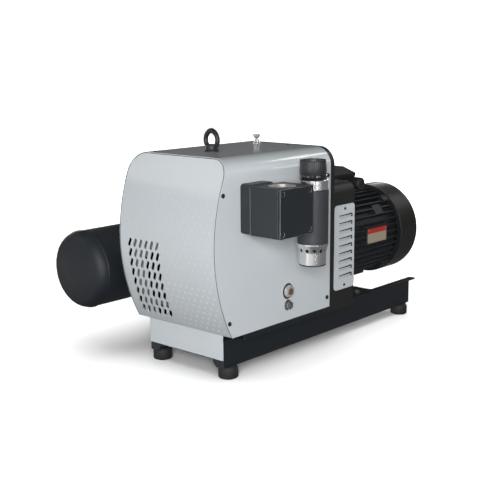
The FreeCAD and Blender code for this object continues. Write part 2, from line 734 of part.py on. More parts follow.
# Rear cover: strip with the hood's outline, tucked-in lip, box round the coupling
def rear_cover():
    lip_gap = HOOD_SHEET + PANEL_GAP
    lip_front = HOOD_REAR - COVER_TUCK
    bottom = BASE_TOP + FIT_GAP
    lip = hood_solid(lip_gap, lip_front, HOOD_REAR, bottom)
    lip = lip.cut(hood_solid(lip_gap + COVER_SHEET, lip_front - 1, HOOD_REAR + 1, bottom - 1))
    strip = hood_solid(0, HOOD_REAR + FIT_GAP, COVER_STRIP_REAR, bottom)
    inside = hood_solid(2 * COVER_SHEET + lip_gap, HOOD_REAR, COVER_STRIP_REAR - COVER_SHEET, bottom - 1)
    shoulder = hood_solid(COVER_SHEET, HOOD_REAR + FIT_GAP + COVER_SHEET,
                          COVER_STRIP_REAR - COVER_SHEET, bottom - 1)
    strip = strip.cut([inside, shoulder])
    joint = hood_solid(lip_gap, HOOD_REAR, HOOD_REAR + FIT_GAP + COVER_SHEET, bottom)
    joint = joint.cut(hood_solid(lip_gap + COVER_SHEET, HOOD_REAR - 1, HOOD_REAR + 9, bottom - 1))
    tall = COVER_TOP - BASE_TOP
    box = cover_box(0, COVER_STRIP_REAR, COVER_BOX_REAR, bottom, tall)
    hollow = cover_box(COVER_SHEET, COVER_STRIP_REAR - 2 * COVER_SHEET, COVER_BOX_REAR - COVER_SHEET,
                       bottom - 5, tall)
    cover = union([lip, strip, joint, box]).cut(hollow)
    neck = MOTOR_FIN_DIAMETER / 2 + 2
    cover = cover.cut(bar_y(0, DRIVE_Z, neck, COVER_BOX_REAR - 2 * COVER_SHEET, COVER_BOX_REAR + 1))
    window = block(HOOD_SIDE - 2 * COVER_SHEET, HOOD_SIDE + 1,
                   louvre_middle() - LOUVRE_LENGTH / 2 - WINDOW_MARGIN,
                   louvre_middle() + LOUVRE_LENGTH / 2 + WINDOW_MARGIN,
                   louvre_bottom() + 2 * LOUVRE_SCREW_INSET,
                   louvre_bottom() + LOUVRE_PLATE_HEIGHT - 2 * LOUVRE_SCREW_INSET)
    cuts = [window]
    for y, z in side_screw_places()[2:]:
        cuts.append(rod(Vector(-HOOD_WIDTH, y, z), X_AXIS, HOOD_SCREW_DIAMETER / 2, 2 * HOOD_WIDTH))
    cuts += top_screw_holes(SMALL_SCREW_SHANK / 2)[1:]
    for z in louvre_screw_heights():
        start = Vector(HOOD_SIDE - 3 * COVER_SHEET, louvre_middle(), z)
        cuts.append(rod(start, X_AXIS, SMALL_SCREW_SHANK / 2, 4 * COVER_SHEET))
    return cover.cut(cuts).removeSplitter()


def cover_box(inset, y0, y1, bottom, tall):
    side = HOOD_SIDE - inset
    top = BASE_TOP + tall - inset
    body = block(-side, side, y0, y1, bottom, top)
    edges = []
    for edge in body.Edges:
        along_y = abs(edge.tangentAt(edge.FirstParameter).y) > 0.99
        if along_y and edge.CenterOfMass.z > top - 1:
            edges.append(edge)
    return body.makeFillet(COVER_BOX_CORNER - inset, edges)


def louvre_middle():
    return COVER_BOX_REAR - LOUVRE_PLATE_LENGTH / 2 - 1


def louvre_bottom():
    return BASE_TOP + LOUVRE_PLATE_LIFT


def louvre_screw_heights():
    inset = LOUVRE_SCREW_INSET
    return [louvre_bottom() + inset, louvre_bottom() + LOUVRE_PLATE_HEIGHT - inset]


# One louvre: a scoop that opens upwards, and the slit along its top that widens behind its rear end
def louvre(z):
    skin = LOUVRE_SKIN
    inside = HOOD_SIDE - 1
    face = HOOD_SIDE + HOOD_SHEET
    root = face - HOOD_SHEET / 4
    lip = face + LOUVRE_RISE
    top = z + LOUVRE_DROP
    front = louvre_middle() + LOUVRE_OFFSET - LOUVRE_LENGTH / 2
    rear = front + LOUVRE_LENGTH
    outline = [Vector(root, front, z), Vector(lip, front, top), Vector(root, front, top)]
    scoop = prism(outline, Y_AXIS * LOUVRE_LENGTH)
    hollow = prism([Vector(inside, front + skin, top), Vector(lip - skin, front + skin, top),
                    Vector(root, front + skin, z + 2 * skin), Vector(inside, front + skin, z + 2 * skin)],
                   Y_AXIS * (LOUVRE_LENGTH - 2 * skin))
    slit = prism([Vector(inside, front + skin, top - skin), Vector(inside, front + skin, top + LOUVRE_SLIT),
                  Vector(inside, rear + LOUVRE_HOOK_REACH, top + LOUVRE_SLIT_END),
                  Vector(inside, rear + LOUVRE_HOOK_REACH, top - LOUVRE_HOOK_DROP),
                  Vector(inside, rear, z + 2 * skin), Vector(inside, rear, top - skin)],
                 X_AXIS * (face - inside))
    return scoop, hollow.fuse(slit)


def louvre_plate():
    middle = louvre_middle()
    bottom = louvre_bottom()
    y0 = middle - LOUVRE_PLATE_LENGTH / 2
    y1 = middle + LOUVRE_PLATE_LENGTH / 2
    face = HOOD_SIDE + HOOD_SHEET
    plate = block(HOOD_SIDE, face, y0, y1, bottom, bottom + LOUVRE_PLATE_HEIGHT)
    corners = [e for e in plate.Edges if abs(e.tangentAt(e.FirstParameter).x) > 0.99]
    plate = plate.makeFillet(LOUVRE_PLATE_CORNER, corners)
    first = bottom + (LOUVRE_PLATE_HEIGHT - LOUVRE_PITCH * (LOUVRE_COUNT - 1) - LOUVRE_DROP) / 2
    for index in range(LOUVRE_COUNT):
        scoop, opening = louvre(first + index * LOUVRE_PITCH)
        plate = plate.fuse(scoop).cut(opening)
    for z in louvre_screw_heights():
        plate = plate.cut(rod(Vector(HOOD_SIDE, middle, z), X_AXIS, SMALL_SCREW_SHANK / 2, HOOD_SHEET))
    return plate.removeSplitter()


# Lifting eye, screwed into the casing's boss, and the bright knob
def lifting_eye():
    base = Vector(EYE_X, EYE_Y, HOOD_TOP)
    centre = base + Z_AXIS * (EYE_HEIGHT - EYE_OUTER / 2)
    turn = math.radians(EYE_TURN)
    facing = Vector(math.sin(turn), math.cos(turn), 0)
    loop = Part.makeTorus((EYE_OUTER - EYE_SECTION) / 2, EYE_SECTION / 2, centre, facing)
    collar = rod(base, Z_AXIS, EYE_COLLAR / 2, EYE_COLLAR_HEIGHT)
    length = EYE_THREAD + HOOD_SHEET
    thread = rod(base - Z_AXIS * length, Z_AXIS, EYE_THREAD / 2, length)
    return union([loop, collar, thread])


def top_knob():
    y = HOOD_REAR - KNOB_SETBACK
    z = HOOD_TOP
    waist = KNOB_WAIST / 2
    height = KNOB_HEIGHT
    profile = [(0, -12), (waist, -12), (waist, 0), (KNOB_FLANGE / 2, 0), (KNOB_FLANGE / 2, 3),
               (waist + 1.5, 4.5), (waist + 1.5, height - 13), (waist, height - 10),
               (waist, height - 7), (KNOB_HEAD / 2, height - 3), (KNOB_HEAD / 2, height), (0, height)]
    points = [Vector(KNOB_X + r, y, z + h) for r, h in profile]
    return revolve(points, Vector(KNOB_X, y, z), Z_AXIS)


# Pump casing with its chamber, ports and cast feet
def casing_outline(y0, y1, bottom):
    return rounded_plate(-CASING_SIDE, CASING_SIDE, bottom, CASING_TOP, CASING_CORNER, y0, y1)


def pump_casing():
    body = casing_outline(CASING_FRONT, CASING_REAR, CASING_BOTTOM)
    feet = []
    for sign in (-1, 1):
        middle = sign * (CASING_SIDE - FOOT_PAD_WIDTH / 2)
        y0 = CASING_MIDDLE - FOOT_PAD_LENGTH / 2
        feet.append(block(middle - FOOT_PAD_WIDTH / 2, middle + FOOT_PAD_WIDTH / 2,
                          y0, y0 + FOOT_PAD_LENGTH, BASE_TOP, CASING_BOTTOM + CASING_CORNER))
    # The boss under the lifting eye reaches up through the hood
    root = CASING_TOP - CASING_MARGIN / 2
    boss = rod(Vector(EYE_X, EYE_Y, root), Z_AXIS, LIFT_BOSS_DIAMETER / 2, HOOD_TOP - root)
    length = EYE_THREAD + HOOD_SHEET
    thread = rod(Vector(EYE_X, EYE_Y, HOOD_TOP - length), Z_AXIS, EYE_THREAD / 2, length)
    body = union([body, boss.cut(thread)] + feet)
    chamber = bar_y(0, DRIVE_Z, CHAMBER_RADIUS, CASING_FRONT, CASING_REAR)
    chamber = chamber.fuse(bar_y(0, DRIVEN_Z, CHAMBER_RADIUS, CASING_FRONT, CASING_REAR))
    inlet = rod(Vector(0, INLET_Y, INLET_Z), X_AXIS, INLET_BORE / 2, CASING_SIDE)
    exhaust = rod(Vector(0, CASING_MIDDLE, EXHAUST_Z), X_AXIS * -1, EXHAUST_BORE / 2, CASING_SIDE)
    return body.cut([chamber, inlet, exhaust])


def front_end_plate():
    plate = casing_outline(FRONT_PLATE_FRONT, CASING_FRONT, CASING_BOTTOM)
    for z in (DRIVE_Z, DRIVEN_Z):
        pocket = FRONT_BEARING_Y
        plate = plate.cut(bar_y(0, z, BEARING_OUTER / 2, pocket, pocket + BEARING_WIDTH))
        plate = plate.cut(bar_y(0, z, SHAFT_RADIUS + 1, pocket - BEARING_SHOULDER, CASING_FRONT))
    return plate


def rear_end_plate():
    plate = casing_outline(CASING_REAR, GEAR_CASE_FRONT, CASING_BOTTOM)
    for z in (DRIVE_Z, DRIVEN_Z):
        plate = plate.cut(bar_y(0, z, SHAFT_RADIUS + 1, CASING_REAR, GEAR_CASE_FRONT))
        plate = plate.cut(bar_y(0, z, BEARING_OUTER / 2, GEAR_CASE_FRONT - BEARING_WIDTH, GEAR_CASE_FRONT))
    return plate


def pump_bearings():
    rear = GEAR_CASE_FRONT - BEARING_WIDTH
    rings = []
    for z in (DRIVE_Z, DRIVEN_Z):
        for y in (FRONT_BEARING_Y, rear):
            rings.append(ring_y(0, z, BEARING_OUTER / 2, SHAFT_RADIUS + RUNNING_GAP, y, y + BEARING_WIDTH))
    return Part.makeCompound(rings)


# Oil bosses reach from the gear case to the hood's side
def oil_fitting_starts():
    x = HOOD_SIDE - FITTING_TUCK
    sight = Vector(x, OIL_FITTING_Y, DRIVE_Z - SIGHT_DROP)
    return sight, sight - Z_AXIS * DRAIN_DROP


def gear_case():
    body = casing_outline(GEAR_CASE_FRONT, GEAR_CASE_REAR, GEAR_CASE_BOTTOM)
    wall = GEAR_CASE_WALL
    hollow = rounded_plate(-CASING_SIDE + wall, CASING_SIDE - wall, GEAR_CASE_BOTTOM + wall,
                           CASING_TOP - wall, CASING_CORNER - wall / 2, GEAR_CASE_FRONT, GEAR_CASE_REAR)
    sight, drain = oil_fitting_starts()
    bosses = []
    for start, flange in ((sight, SIGHT_FLANGE), (drain, DRAIN_FLANGE)):
        root = Vector(CASING_SIDE - wall / 2, start.y, start.z)
        radius = flange / 2 - OIL_BOSS_WALL / 2
        bosses.append(rod(root, X_AXIS, radius, start.x - root.x))
    foot_y = (GEAR_CASE_FRONT + GEAR_CASE_REAR) / 2 - FOOT_PAD_LENGTH / 2
    for sign in (-1, 1):
        middle = sign * (CASING_SIDE - FOOT_PAD_WIDTH / 2)
        bosses.append(block(middle - FOOT_PAD_WIDTH / 2, middle + FOOT_PAD_WIDTH / 2,
                            foot_y, foot_y + FOOT_PAD_LENGTH, BASE_TOP, GEAR_CASE_BOTTOM + wall / 2))
    body = union([body] + bosses).cut(hollow)
    for start, radius in ((sight, SIGHT_BORE / 2), (drain, SIGHT_BORE / 4)):
        inside = Vector(CASING_SIDE - 2 * wall, start.y, start.z)
        body = body.cut(rod(inside, X_AXIS, radius, start.x - inside.x))
    return body


def gear_case_cover():
    cover = casing_outline(GEAR_CASE_REAR, GEAR_COVER_REAR, GEAR_CASE_BOTTOM)
    hole = bar_y(0, DRIVE_Z, SHAFT_RADIUS + SEAL_WIDTH, GEAR_CASE_REAR, GEAR_COVER_REAR)
    return cover.cut(hole)


def shaft_seal():
    return ring_y(0, DRIVE_Z, SHAFT_RADIUS + SEAL_WIDTH, SHAFT_RADIUS + RUNNING_GAP,
                  GEAR_COVER_REAR - SEAL_WIDTH, GEAR_COVER_REAR)


def oil_sight_fitting():
    start = oil_fitting_starts()[0]
    flange = rod(start, X_AXIS, SIGHT_FLANGE / 2, SIGHT_LENGTH)
    rim = [e for e in flange.Edges if e.CenterOfMass.x > start.x + SIGHT_LENGTH - 1]
    flange = flange.makeFillet(SIGHT_LENGTH / 6, rim)
    nut = hexagon(start + X_AXIS * SIGHT_LENGTH, X_AXIS, SIGHT_NUT, SIGHT_NUT_HEIGHT)
    tail = rod(start - X_AXIS * SIGHT_TAIL, X_AXIS, SIGHT_BORE / 2, SIGHT_TAIL)
    depth = SIGHT_NUT_HEIGHT + SIGHT_LENGTH / 5
    end = start + X_AXIS * (SIGHT_LENGTH + SIGHT_NUT_HEIGHT - depth)
    return union([flange, nut, tail]).cut(rod(end, X_AXIS, SIGHT_BORE / 2, depth))


def oil_sight_lens():
    depth = SIGHT_NUT_HEIGHT + SIGHT_LENGTH / 5
    start = oil_fitting_starts()[0] + X_AXIS * (SIGHT_LENGTH + SIGHT_NUT_HEIGHT - depth)
    length = depth * 1.3
    lens = rod(start, X_AXIS, SIGHT_BORE / 2, length)
    return lens.makeFillet(length / 4, [e for e in lens.Edges if e.CenterOfMass.x > start.x + length - 1])


def oil_drain_plug():
    start = oil_fitting_starts()[1]
    flange = rod(start, X_AXIS, DRAIN_FLANGE / 2, DRAIN_LENGTH)
    nut = hexagon(start + X_AXIS * DRAIN_LENGTH, X_AXIS, DRAIN_NUT, DRAIN_NUT_HEIGHT)
    tail = rod(start - X_AXIS * DRAIN_TAIL, X_AXIS, SIGHT_BORE / 4, DRAIN_TAIL)
    depth = DRAIN_NUT_HEIGHT * 0.8
    end = start + X_AXIS * (DRAIN_LENGTH + DRAIN_NUT_HEIGHT - depth)
    return union([flange, nut, tail]).cut(rod(end, X_AXIS, DRAIN_SOCKET / 2, depth))


# Shafts, rotors and timing gears
def drive_shaft():
    return bar_y(0, DRIVE_Z, SHAFT_RADIUS, FRONT_BEARING_Y - SHAFT_STUB, pump_shaft_end())


def driven_shaft():
    return bar_y(0, DRIVEN_Z, SHAFT_RADIUS, FRONT_BEARING_Y - SHAFT_STUB, GEAR_FRONT + GEAR_WIDTH + 8)


def pump_shaft_end():
    return coupling_places()[0]


# Flank of a claw: the path of the other rotor's tip, seen from the turning rotor
def flank_point(phase, clearance):
    tip = ROTOR_TIP_RADIUS + clearance
    x = CENTRE_DISTANCE * math.cos(phase) - tip * math.cos(2 * phase)
    y = CENTRE_DISTANCE * math.sin(phase) - tip * math.sin(2 * phase)
    return x, -y


def claw_rotor():
    clearance = ROTOR_CLEARANCE
    tip_phase = math.acos(CENTRE_DISTANCE / (2 * (ROTOR_TIP_RADIUS + clearance)))
    step_back = math.radians(1.0)
    tip_turn = math.radians(CLAW_TIP_ANGLE)
    back_turn = math.radians(CLAW_BACK_ANGLE)
    flank = []
    steps = 10
    for index in range(steps + 1):
        x, y = flank_point(tip_phase * index / steps, clearance)
        radius = min(math.hypot(x, y), ROTOR_TIP_RADIUS)
        turn = math.atan2(y, x) + step_back
        flank.append((max(radius, ROTOR_ROOT_RADIUS), turn))
    flank[-1] = (ROTOR_TIP_RADIUS, flank[-1][1])

    def place(radius, turn):
        return Vector(radius * math.cos(turn), radius * math.sin(turn), 0)

    edges = []
    half_turn = math.pi
    root_turn = flank[0][1]
    for claw in range(2):
        offset = claw * half_turn
        points = [place(r, t + offset) for r, t in flank]
        curve = Part.BSplineCurve()
        curve.interpolate(points)
        edges.append(curve.toShape())
        tip_start = flank[-1][1] + offset
        tip_end = tip_start + tip_turn
        middle = place(ROTOR_TIP_RADIUS, (tip_start + tip_end) / 2)
        edges.append(Part.Arc(points[-1], middle, place(ROTOR_TIP_RADIUS, tip_end)).toShape())
        back_end = place(ROTOR_ROOT_RADIUS, tip_end + back_turn)
        hollow = place((ROTOR_TIP_RADIUS + ROTOR_ROOT_RADIUS) * 0.515, tip_end + back_turn * 0.5)
        edges.append(Part.Arc(place(ROTOR_TIP_RADIUS, tip_end), hollow, back_end).toShape())
        root_middle = place(ROTOR_ROOT_RADIUS, (tip_end + back_turn + root_turn + offset + half_turn) / 2)
        next_start = place(ROTOR_ROOT_RADIUS, root_turn + offset + half_turn)
        edges.append(Part.Arc(back_end, root_middle, next_start).toShape())
    face = Part.Face(Part.Wire(edges))
    length = CHAMBER_LENGTH - 2 * ROTOR_CLEARANCE
    rotor = face.extrude(Vector(0, 0, length))
    rotor = rotor.cut(rod(Vector(0, 0, 0), Z_AXIS, SHAFT_RADIUS, length))
    # The profile plane is turned upright: its first axis points up, its normal along the shaft
    rotor.Placement = Placement(Vector(0, 0, 0), Rotation(Z_AXIS, X_AXIS, Y_AXIS, "ZXY"))
    return rotor


def placed_rotor(z, degrees):
    rotor = claw_rotor()
    rotor.translate(Vector(0, CASING_FRONT + ROTOR_CLEARANCE, 0))
    rotor.rotate(Vector(0, 0, 0), Y_AXIS, degrees)
    rotor.translate(Vector(0, 0, z))
    return rotor


def drive_rotor():
    return placed_rotor(DRIVE_Z, CLAW_REST_ANGLE)


def driven_rotor():
    return placed_rotor(DRIVEN_Z, 180 - CLAW_REST_ANGLE)


# Involute spur gear, tooth sides by formula
def spur_gear():
    pitch = GEAR_MODULE * GEAR_TEETH / 2
    base = pitch * math.cos(math.radians(GEAR_PRESSURE_ANGLE))
    outer = pitch + GEAR_MODULE * 0.95
    root = pitch - GEAR_MODULE * 1.25
    half_tooth = (math.pi * GEAR_MODULE / 2 - GEAR_BACKLASH) / (2 * pitch)

    def involute(radius):
        angle = math.acos(base / radius)
        return math.tan(angle) - angle

    side = []
    steps = 3
    for index in range(steps + 1):
        radius = max(base, root) + (outer - max(base, root)) * index / steps
        side.append((radius, half_tooth + involute(pitch) - involute(radius)))
    points = []
    for tooth in range(GEAR_TEETH):
        middle = 2 * math.pi * tooth / GEAR_TEETH
        outline = [(root, -side[0][1])] + [(r, -a) for r, a in side]
        outline += [(r, a) for r, a in reversed(side)] + [(root, side[0][1])]
        for radius, angle in outline:
            turn = middle + angle
            points.append(Vector(radius * math.sin(turn), 0, radius * math.cos(turn)))
    gear = prism(points, Y_AXIS * GEAR_WIDTH)
    return gear.cut(bar_y(0, 0, SHAFT_RADIUS, 0, GEAR_WIDTH))


def timing_gear(z, degrees):
    gear = spur_gear()
    gear.translate(Vector(0, GEAR_FRONT, 0))
    gear.rotate(Vector(0, 0, 0), Y_AXIS, degrees)
    gear.translate(Vector(0, 0, z))
    return gear


# Cooling fan behind the gear case
def cooling_fan():
    front = GEAR_COVER_REAR + FAN_SETBACK
    hub = ring_y(0, DRIVE_Z, FAN_HUB / 2, SHAFT_RADIUS, front, front + FAN_WIDTH)
    blades = []
    root = FAN_HUB / 2 - 3
    reach = FAN_DIAMETER / 2
    for index in range(FAN_BLADES):
        blade = block(-14, 14, front + FAN_WIDTH / 2 - 1.5, front + FAN_WIDTH / 2 + 1.5,
                      DRIVE_Z + root, DRIVE_Z + reach)
        blade.rotate(Vector(0, front + FAN_WIDTH / 2, DRIVE_Z), Z_AXIS, 40)
        blade = blade.common(bar_y(0, DRIVE_Z, reach, front, front + FAN_WIDTH))
        blades.append(turned_about_y(blade, 0, DRIVE_Z, index * 360 / FAN_BLADES))
    fan = union([hub] + blades)
    return fan.cut(bar_y(0, DRIVE_Z, SHAFT_RADIUS, front - 1, front + FAN_WIDTH + 1))


# Jaw coupling: two hubs with three jaws each and a star between them
def coupling_places():
    far = MOTOR_FACE - MOTOR_SHAFT_LENGTH
    return far - COUPLING_JAW, far


def jaw_sector(y0, y1, start, sweep):
    outer = COUPLING_DIAMETER / 2
    inner = MOTOR_SHAFT_DIAMETER / 2
    first = Vector(inner, y0, 0)
    edge = Part.makeLine(first, Vector(outer, y0, 0))
    face = edge.revolve(Vector(0, y0, 0), Y_AXIS, sweep)
    jaw = face.extrude(Y_AXIS * (y1 - y0))
    jaw.rotate(Vector(0, 0, 0), Y_AXIS, start)
    jaw.translate(Vector(0, 0, DRIVE_Z))
    return jaw


def coupling_hub(y0, y1, radius, first_jaw):
    near, far = coupling_places()
    hub = ring_y(0, DRIVE_Z, COUPLING_DIAMETER / 2, radius, y0, y1)
    jaws = []
    for index in range(COUPLING_JAWS):
        start = first_jaw + index * 360 / COUPLING_JAWS
        jaws.append(jaw_sector(near, far, start, 36))
    return union([hub] + jaws)


def coupling_hub_pump():
    near, far = coupling_places()
    return coupling_hub(near - COUPLING_HUB_LENGTH, near, SHAFT_RADIUS, 0)


def coupling_hub_motor():
    near, far = coupling_places()
    return coupling_hub(far, far + COUPLING_HUB_LENGTH, MOTOR_SHAFT_DIAMETER / 2, 60)


def coupling_spider():
    near, far = coupling_places()
    core = ring_y(0, DRIVE_Z, MOTOR_SHAFT_DIAMETER / 2 + 4, SHAFT_RADIUS, near, far)
    legs = []
    for index in range(2 * COUPLING_JAWS):
        legs.append(jaw_sector(near, far, 36 + index * 180 / COUPLING_JAWS, 24))
    star = union([core] + legs)
    for index in range(2 * COUPLING_JAWS):
        star = star.cut(jaw_sector(near, far, index * 180 / COUPLING_JAWS, 36))
    return star


def bell_housing():
    ring_front = MOTOR_FACE - BELL_RING
    outer = MOTOR_FLANGE_DIAMETER / 2
    inner = outer - MOTOR_SPIGOT_INSET + RUNNING_GAP
    reach = outer - BELL_ARM_INSET
    body = ring_y(0, DRIVE_Z, outer, inner, ring_front, MOTOR_FACE)
    arms = []
    for index in range(4):
        turn = math.radians(BELL_ARM_TURN + 90 * index)
        x = reach * math.cos(turn)
        z = DRIVE_Z + reach * math.sin(turn)
        arm = Part.makeCone(BELL_ARM / 2, BELL_ARM * 0.62, ring_front - GEAR_COVER_REAR + 2,
                            Vector(x, GEAR_COVER_REAR, z), Y_AXIS)
        arms.append(arm)
    bell = union([body] + arms)
    for hole in motor_bolt_holes(ring_front, MOTOR_FACE):
        bell = bell.cut(hole)
    return bell


def motor_bolt_holes(y0, y1):
    holes = []
    circle = MOTOR_FLANGE_DIAMETER / 2 - MOTOR_BOLT_INSET
    for index in range(4):
        turn = math.radians(90 * index)
        x = circle * math.cos(turn)
        z = DRIVE_Z + circle * math.sin(turn)
        holes.append(bar_y(x, z, MOTOR_BOLT_DIAMETER / 2, y0 - 1, y1 + 1))
    return holes


# Motor
def motor_front_shield():
    y = MOTOR_FACE
    flange = bar_y(0, DRIVE_Z, MOTOR_FLANGE_DIAMETER / 2, y, y + MOTOR_FLANGE_THICKNESS)
    spigot = bar_y(0, DRIVE_Z, MOTOR_FLANGE_DIAMETER / 2 - MOTOR_SPIGOT_INSET, y - MOTOR_SPIGOT_LENGTH, y)
    cone = Part.makeCone(MOTOR_FIN_DIAMETER / 2 - 4, MOTOR_ROOT_DIAMETER / 2 + 2,
                         MOTOR_SHIELD_LENGTH - MOTOR_FLANGE_THICKNESS,
                         Vector(0, y + MOTOR_FLANGE_THICKNESS, DRIVE_Z), Y_AXIS)
    shield = union([flange, spigot, cone])
    for hole in motor_bolt_holes(y, y + MOTOR_SHIELD_LENGTH):
        shield = shield.cut(hole)
    seat = MOTOR_FRAME_FRONT - MOTOR_BEARING_WIDTH
    shield = shield.cut(bar_y(0, DRIVE_Z, MOTOR_BEARING_OUTER / 2, seat, MOTOR_FRAME_FRONT))
    return shield.cut(bar_y(0, DRIVE_Z, MOTOR_SHAFT_DIAMETER / 2 + 1, y - 9, MOTOR_FRAME_FRONT))


def motor_frame():
    y0, y1 = MOTOR_FRAME_FRONT, MOTOR_FRAME_REAR
    barrel = bar_y(0, DRIVE_Z, MOTOR_ROOT_DIAMETER / 2, y0, y1)
    fins = []
    root = MOTOR_ROOT_DIAMETER / 2 - 3
    half = MOTOR_FIN_THICKNESS / 2
    for index in range(MOTOR_FINS):
        fin = block(-half, half, y0 + FIN_SETBACK, y1 - FIN_SETBACK, DRIVE_Z + root,
                    DRIVE_Z + MOTOR_FIN_DIAMETER / 2)
        fins.append(turned_about_y(fin, 0, DRIVE_Z, (index + 0.5) * 360 / MOTOR_FINS))
    pad_half = TERMINAL_WIDTH / 2 - TERMINAL_WALL
    pad_front = terminal_front() + TERMINAL_WALL / 2
    extras = [block(-pad_half, pad_half, pad_front, pad_front + TERMINAL_LENGTH - TERMINAL_WALL,
                    DRIVE_Z, DRIVE_Z + TERMINAL_PAD_HEIGHT)]
    reach = MOTOR_FIN_DIAMETER / 2 + 1
    for sign in (-1, 1):
        lug = block(-LUG_WIDTH / 2, LUG_WIDTH / 2, y1 - LUG_SETBACK - LUG_LENGTH, y1 - LUG_SETBACK,
                    DRIVE_Z + root, DRIVE_Z + reach)
        extras.append(turned_about_y(lug, 0, DRIVE_Z, sign * LUG_TURN))
        # Pads for bolt-on feet under the barrel
        low, high = sorted((sign * MOTOR_PAD_GAP / 2, sign * (MOTOR_PAD_GAP / 2 + MOTOR_PAD_WIDTH)))
        extras.append(block(low, high, y0, y0 + MOTOR_PAD_LENGTH, DRIVE_Z - MOTOR_PAD_DEPTH, DRIVE_Z))
    middle = DRIVE_Z + PLATE_SEAT_RISE
    extras.append(block(root, reach, y1 - PLATE_SEAT_SETBACK - PLATE_SEAT_LENGTH, y1 - PLATE_SEAT_SETBACK,
                        middle - PLATE_SEAT_HEIGHT / 2, middle + PLATE_SEAT_HEIGHT / 2))
    frame = union([barrel] + extras + fins)
    return frame.cut(bar_y(0, DRIVE_Z, MOTOR_BORE / 2, y0 - 1, y1 + 1))


def stator():
    middle = (MOTOR_FRAME_FRONT + MOTOR_FRAME_REAR) / 2
    half = MOTOR_ROTOR_LENGTH / 2 + 5
    return ring_y(0, DRIVE_Z, MOTOR_BORE / 2, MOTOR_ROTOR_DIAMETER / 2 + MOTOR_AIR_GAP,
                  middle - half, middle + half)


def motor_rotor():
    middle = (MOTOR_FRAME_FRONT + MOTOR_FRAME_REAR) / 2
    half = MOTOR_ROTOR_LENGTH / 2
    core = bar_y(0, DRIVE_Z, MOTOR_ROTOR_DIAMETER / 2, middle - half, middle + half)
    shaft = bar_y(0, DRIVE_Z, MOTOR_SHAFT_DIAMETER / 2, MOTOR_FACE - MOTOR_SHAFT_LENGTH,
                  motor_fan_front() + MOTOR_FAN_WIDTH)
    return core.fuse(shaft)


def motor_bearings():
    inner = MOTOR_SHAFT_DIAMETER / 2 + RUNNING_GAP
    outer = MOTOR_BEARING_OUTER / 2
    width = MOTOR_BEARING_WIDTH
    front = ring_y(0, DRIVE_Z, outer, inner, MOTOR_FRAME_FRONT - width, MOTOR_FRAME_FRONT)
    start = MOTOR_FRAME_REAR + REAR_SHIELD_LENGTH - width
    return Part.makeCompound([front, ring_y(0, DRIVE_Z, outer, inner, start, start + width)])


def motor_rear_shield():
    y0 = MOTOR_FRAME_REAR
    y1 = y0 + REAR_SHIELD_LENGTH
    shield = bar_y(0, DRIVE_Z, MOTOR_ROOT_DIAMETER / 2, y0, y1)
    hub = bar_y(0, DRIVE_Z, MOTOR_BEARING_OUTER / 2 + 8, y1 - MOTOR_BEARING_WIDTH - 4, y0)
    # Four lugs carry the cowl, and air passes between them onto the fins
    half = REAR_SHIELD_LUG / 2
    rim = bar_y(0, DRIVE_Z, COWL_DIAMETER / 2 - COWL_SHEET, y0, y1)
    lugs = []
    for index in range(4):
        lug = block(-half, half, y0, y1, DRIVE_Z + MOTOR_BORE / 2, DRIVE_Z + COWL_DIAMETER / 2)
        lugs.append(turned_about_y(lug, 0, DRIVE_Z, 45 + index * 90).common(rim))
    shield = union([shield, hub] + lugs)
    shield = shield.cut(bar_y(0, DRIVE_Z, MOTOR_BEARING_OUTER / 2, y1 - MOTOR_BEARING_WIDTH, y1))
    return shield.cut(bar_y(0, DRIVE_Z, MOTOR_SHAFT_DIAMETER / 2 + 1, y0 - 9, y1))


def motor_fan_front():
    return MOTOR_FRAME_REAR + REAR_SHIELD_LENGTH + 8


def motor_fan():
    front = motor_fan_front()
    hub = ring_y(0, DRIVE_Z, 34, MOTOR_SHAFT_DIAMETER / 2, front, front + MOTOR_FAN_WIDTH)
    disc = ring_y(0, DRIVE_Z, MOTOR_FAN_DIAMETER / 2, MOTOR_SHAFT_DIAMETER / 2, front, front + 3)
    blades = []
    for index in range(MOTOR_FAN_BLADES):
        blade = block(-1.5, 1.5, front, front + MOTOR_FAN_WIDTH, DRIVE_Z + 32,
                      DRIVE_Z + MOTOR_FAN_DIAMETER / 2)
        blades.append(turned_about_y(blade, 0, DRIVE_Z, index * 360 / MOTOR_FAN_BLADES))
    return union([hub, disc] + blades)


# Fan cowl: a deep-drawn cup with rings of air slots in its rear face
def fan_cowl():
    outer = COWL_DIAMETER / 2
    y0 = MOTOR_FRAME_REAR
    y1 = y0 + COWL_LENGTH
    cup = bar_y(0, DRIVE_Z, outer, y0, y1)
    cup = cup.makeFillet(COWL_CORNER, [e for e in cup.Edges if e.CenterOfMass.y > y1 - 1])
    inner = bar_y(0, DRIVE_Z, outer - COWL_SHEET, y0, y1 - COWL_SHEET)
    inner = inner.makeFillet(COWL_CORNER - COWL_SHEET,
                             [e for e in inner.Edges if e.CenterOfMass.y > y1 - COWL_SHEET - 1])
    cowl = cup.cut(inner)
    usable = outer - COWL_CORNER - 6
    pitch = usable / (COWL_RINGS + 0.6)
    slots = []
    for index in range(COWL_RINGS):
        radius = usable - pitch * index
        slot = ring_y(0, DRIVE_Z, radius, radius - COWL_SLOT_WIDTH, y1 - COWL_CORNER, y1 + 1)
        slots.append(slot)
    bridges = []
    for index in range(COWL_SLOTS):
        bridge = block(-4, 4, y1 - COWL_CORNER - 1, y1 + 2, DRIVE_Z, DRIVE_Z + outer)
        bridges.append(turned_about_y(bridge, 0, DRIVE_Z, (index + 0.5) * 360 / COWL_SLOTS))
    return cowl.cut(union(slots).cut(bridges))


def terminal_front():
    return MOTOR_FRAME_FRONT + TERMINAL_SETBACK


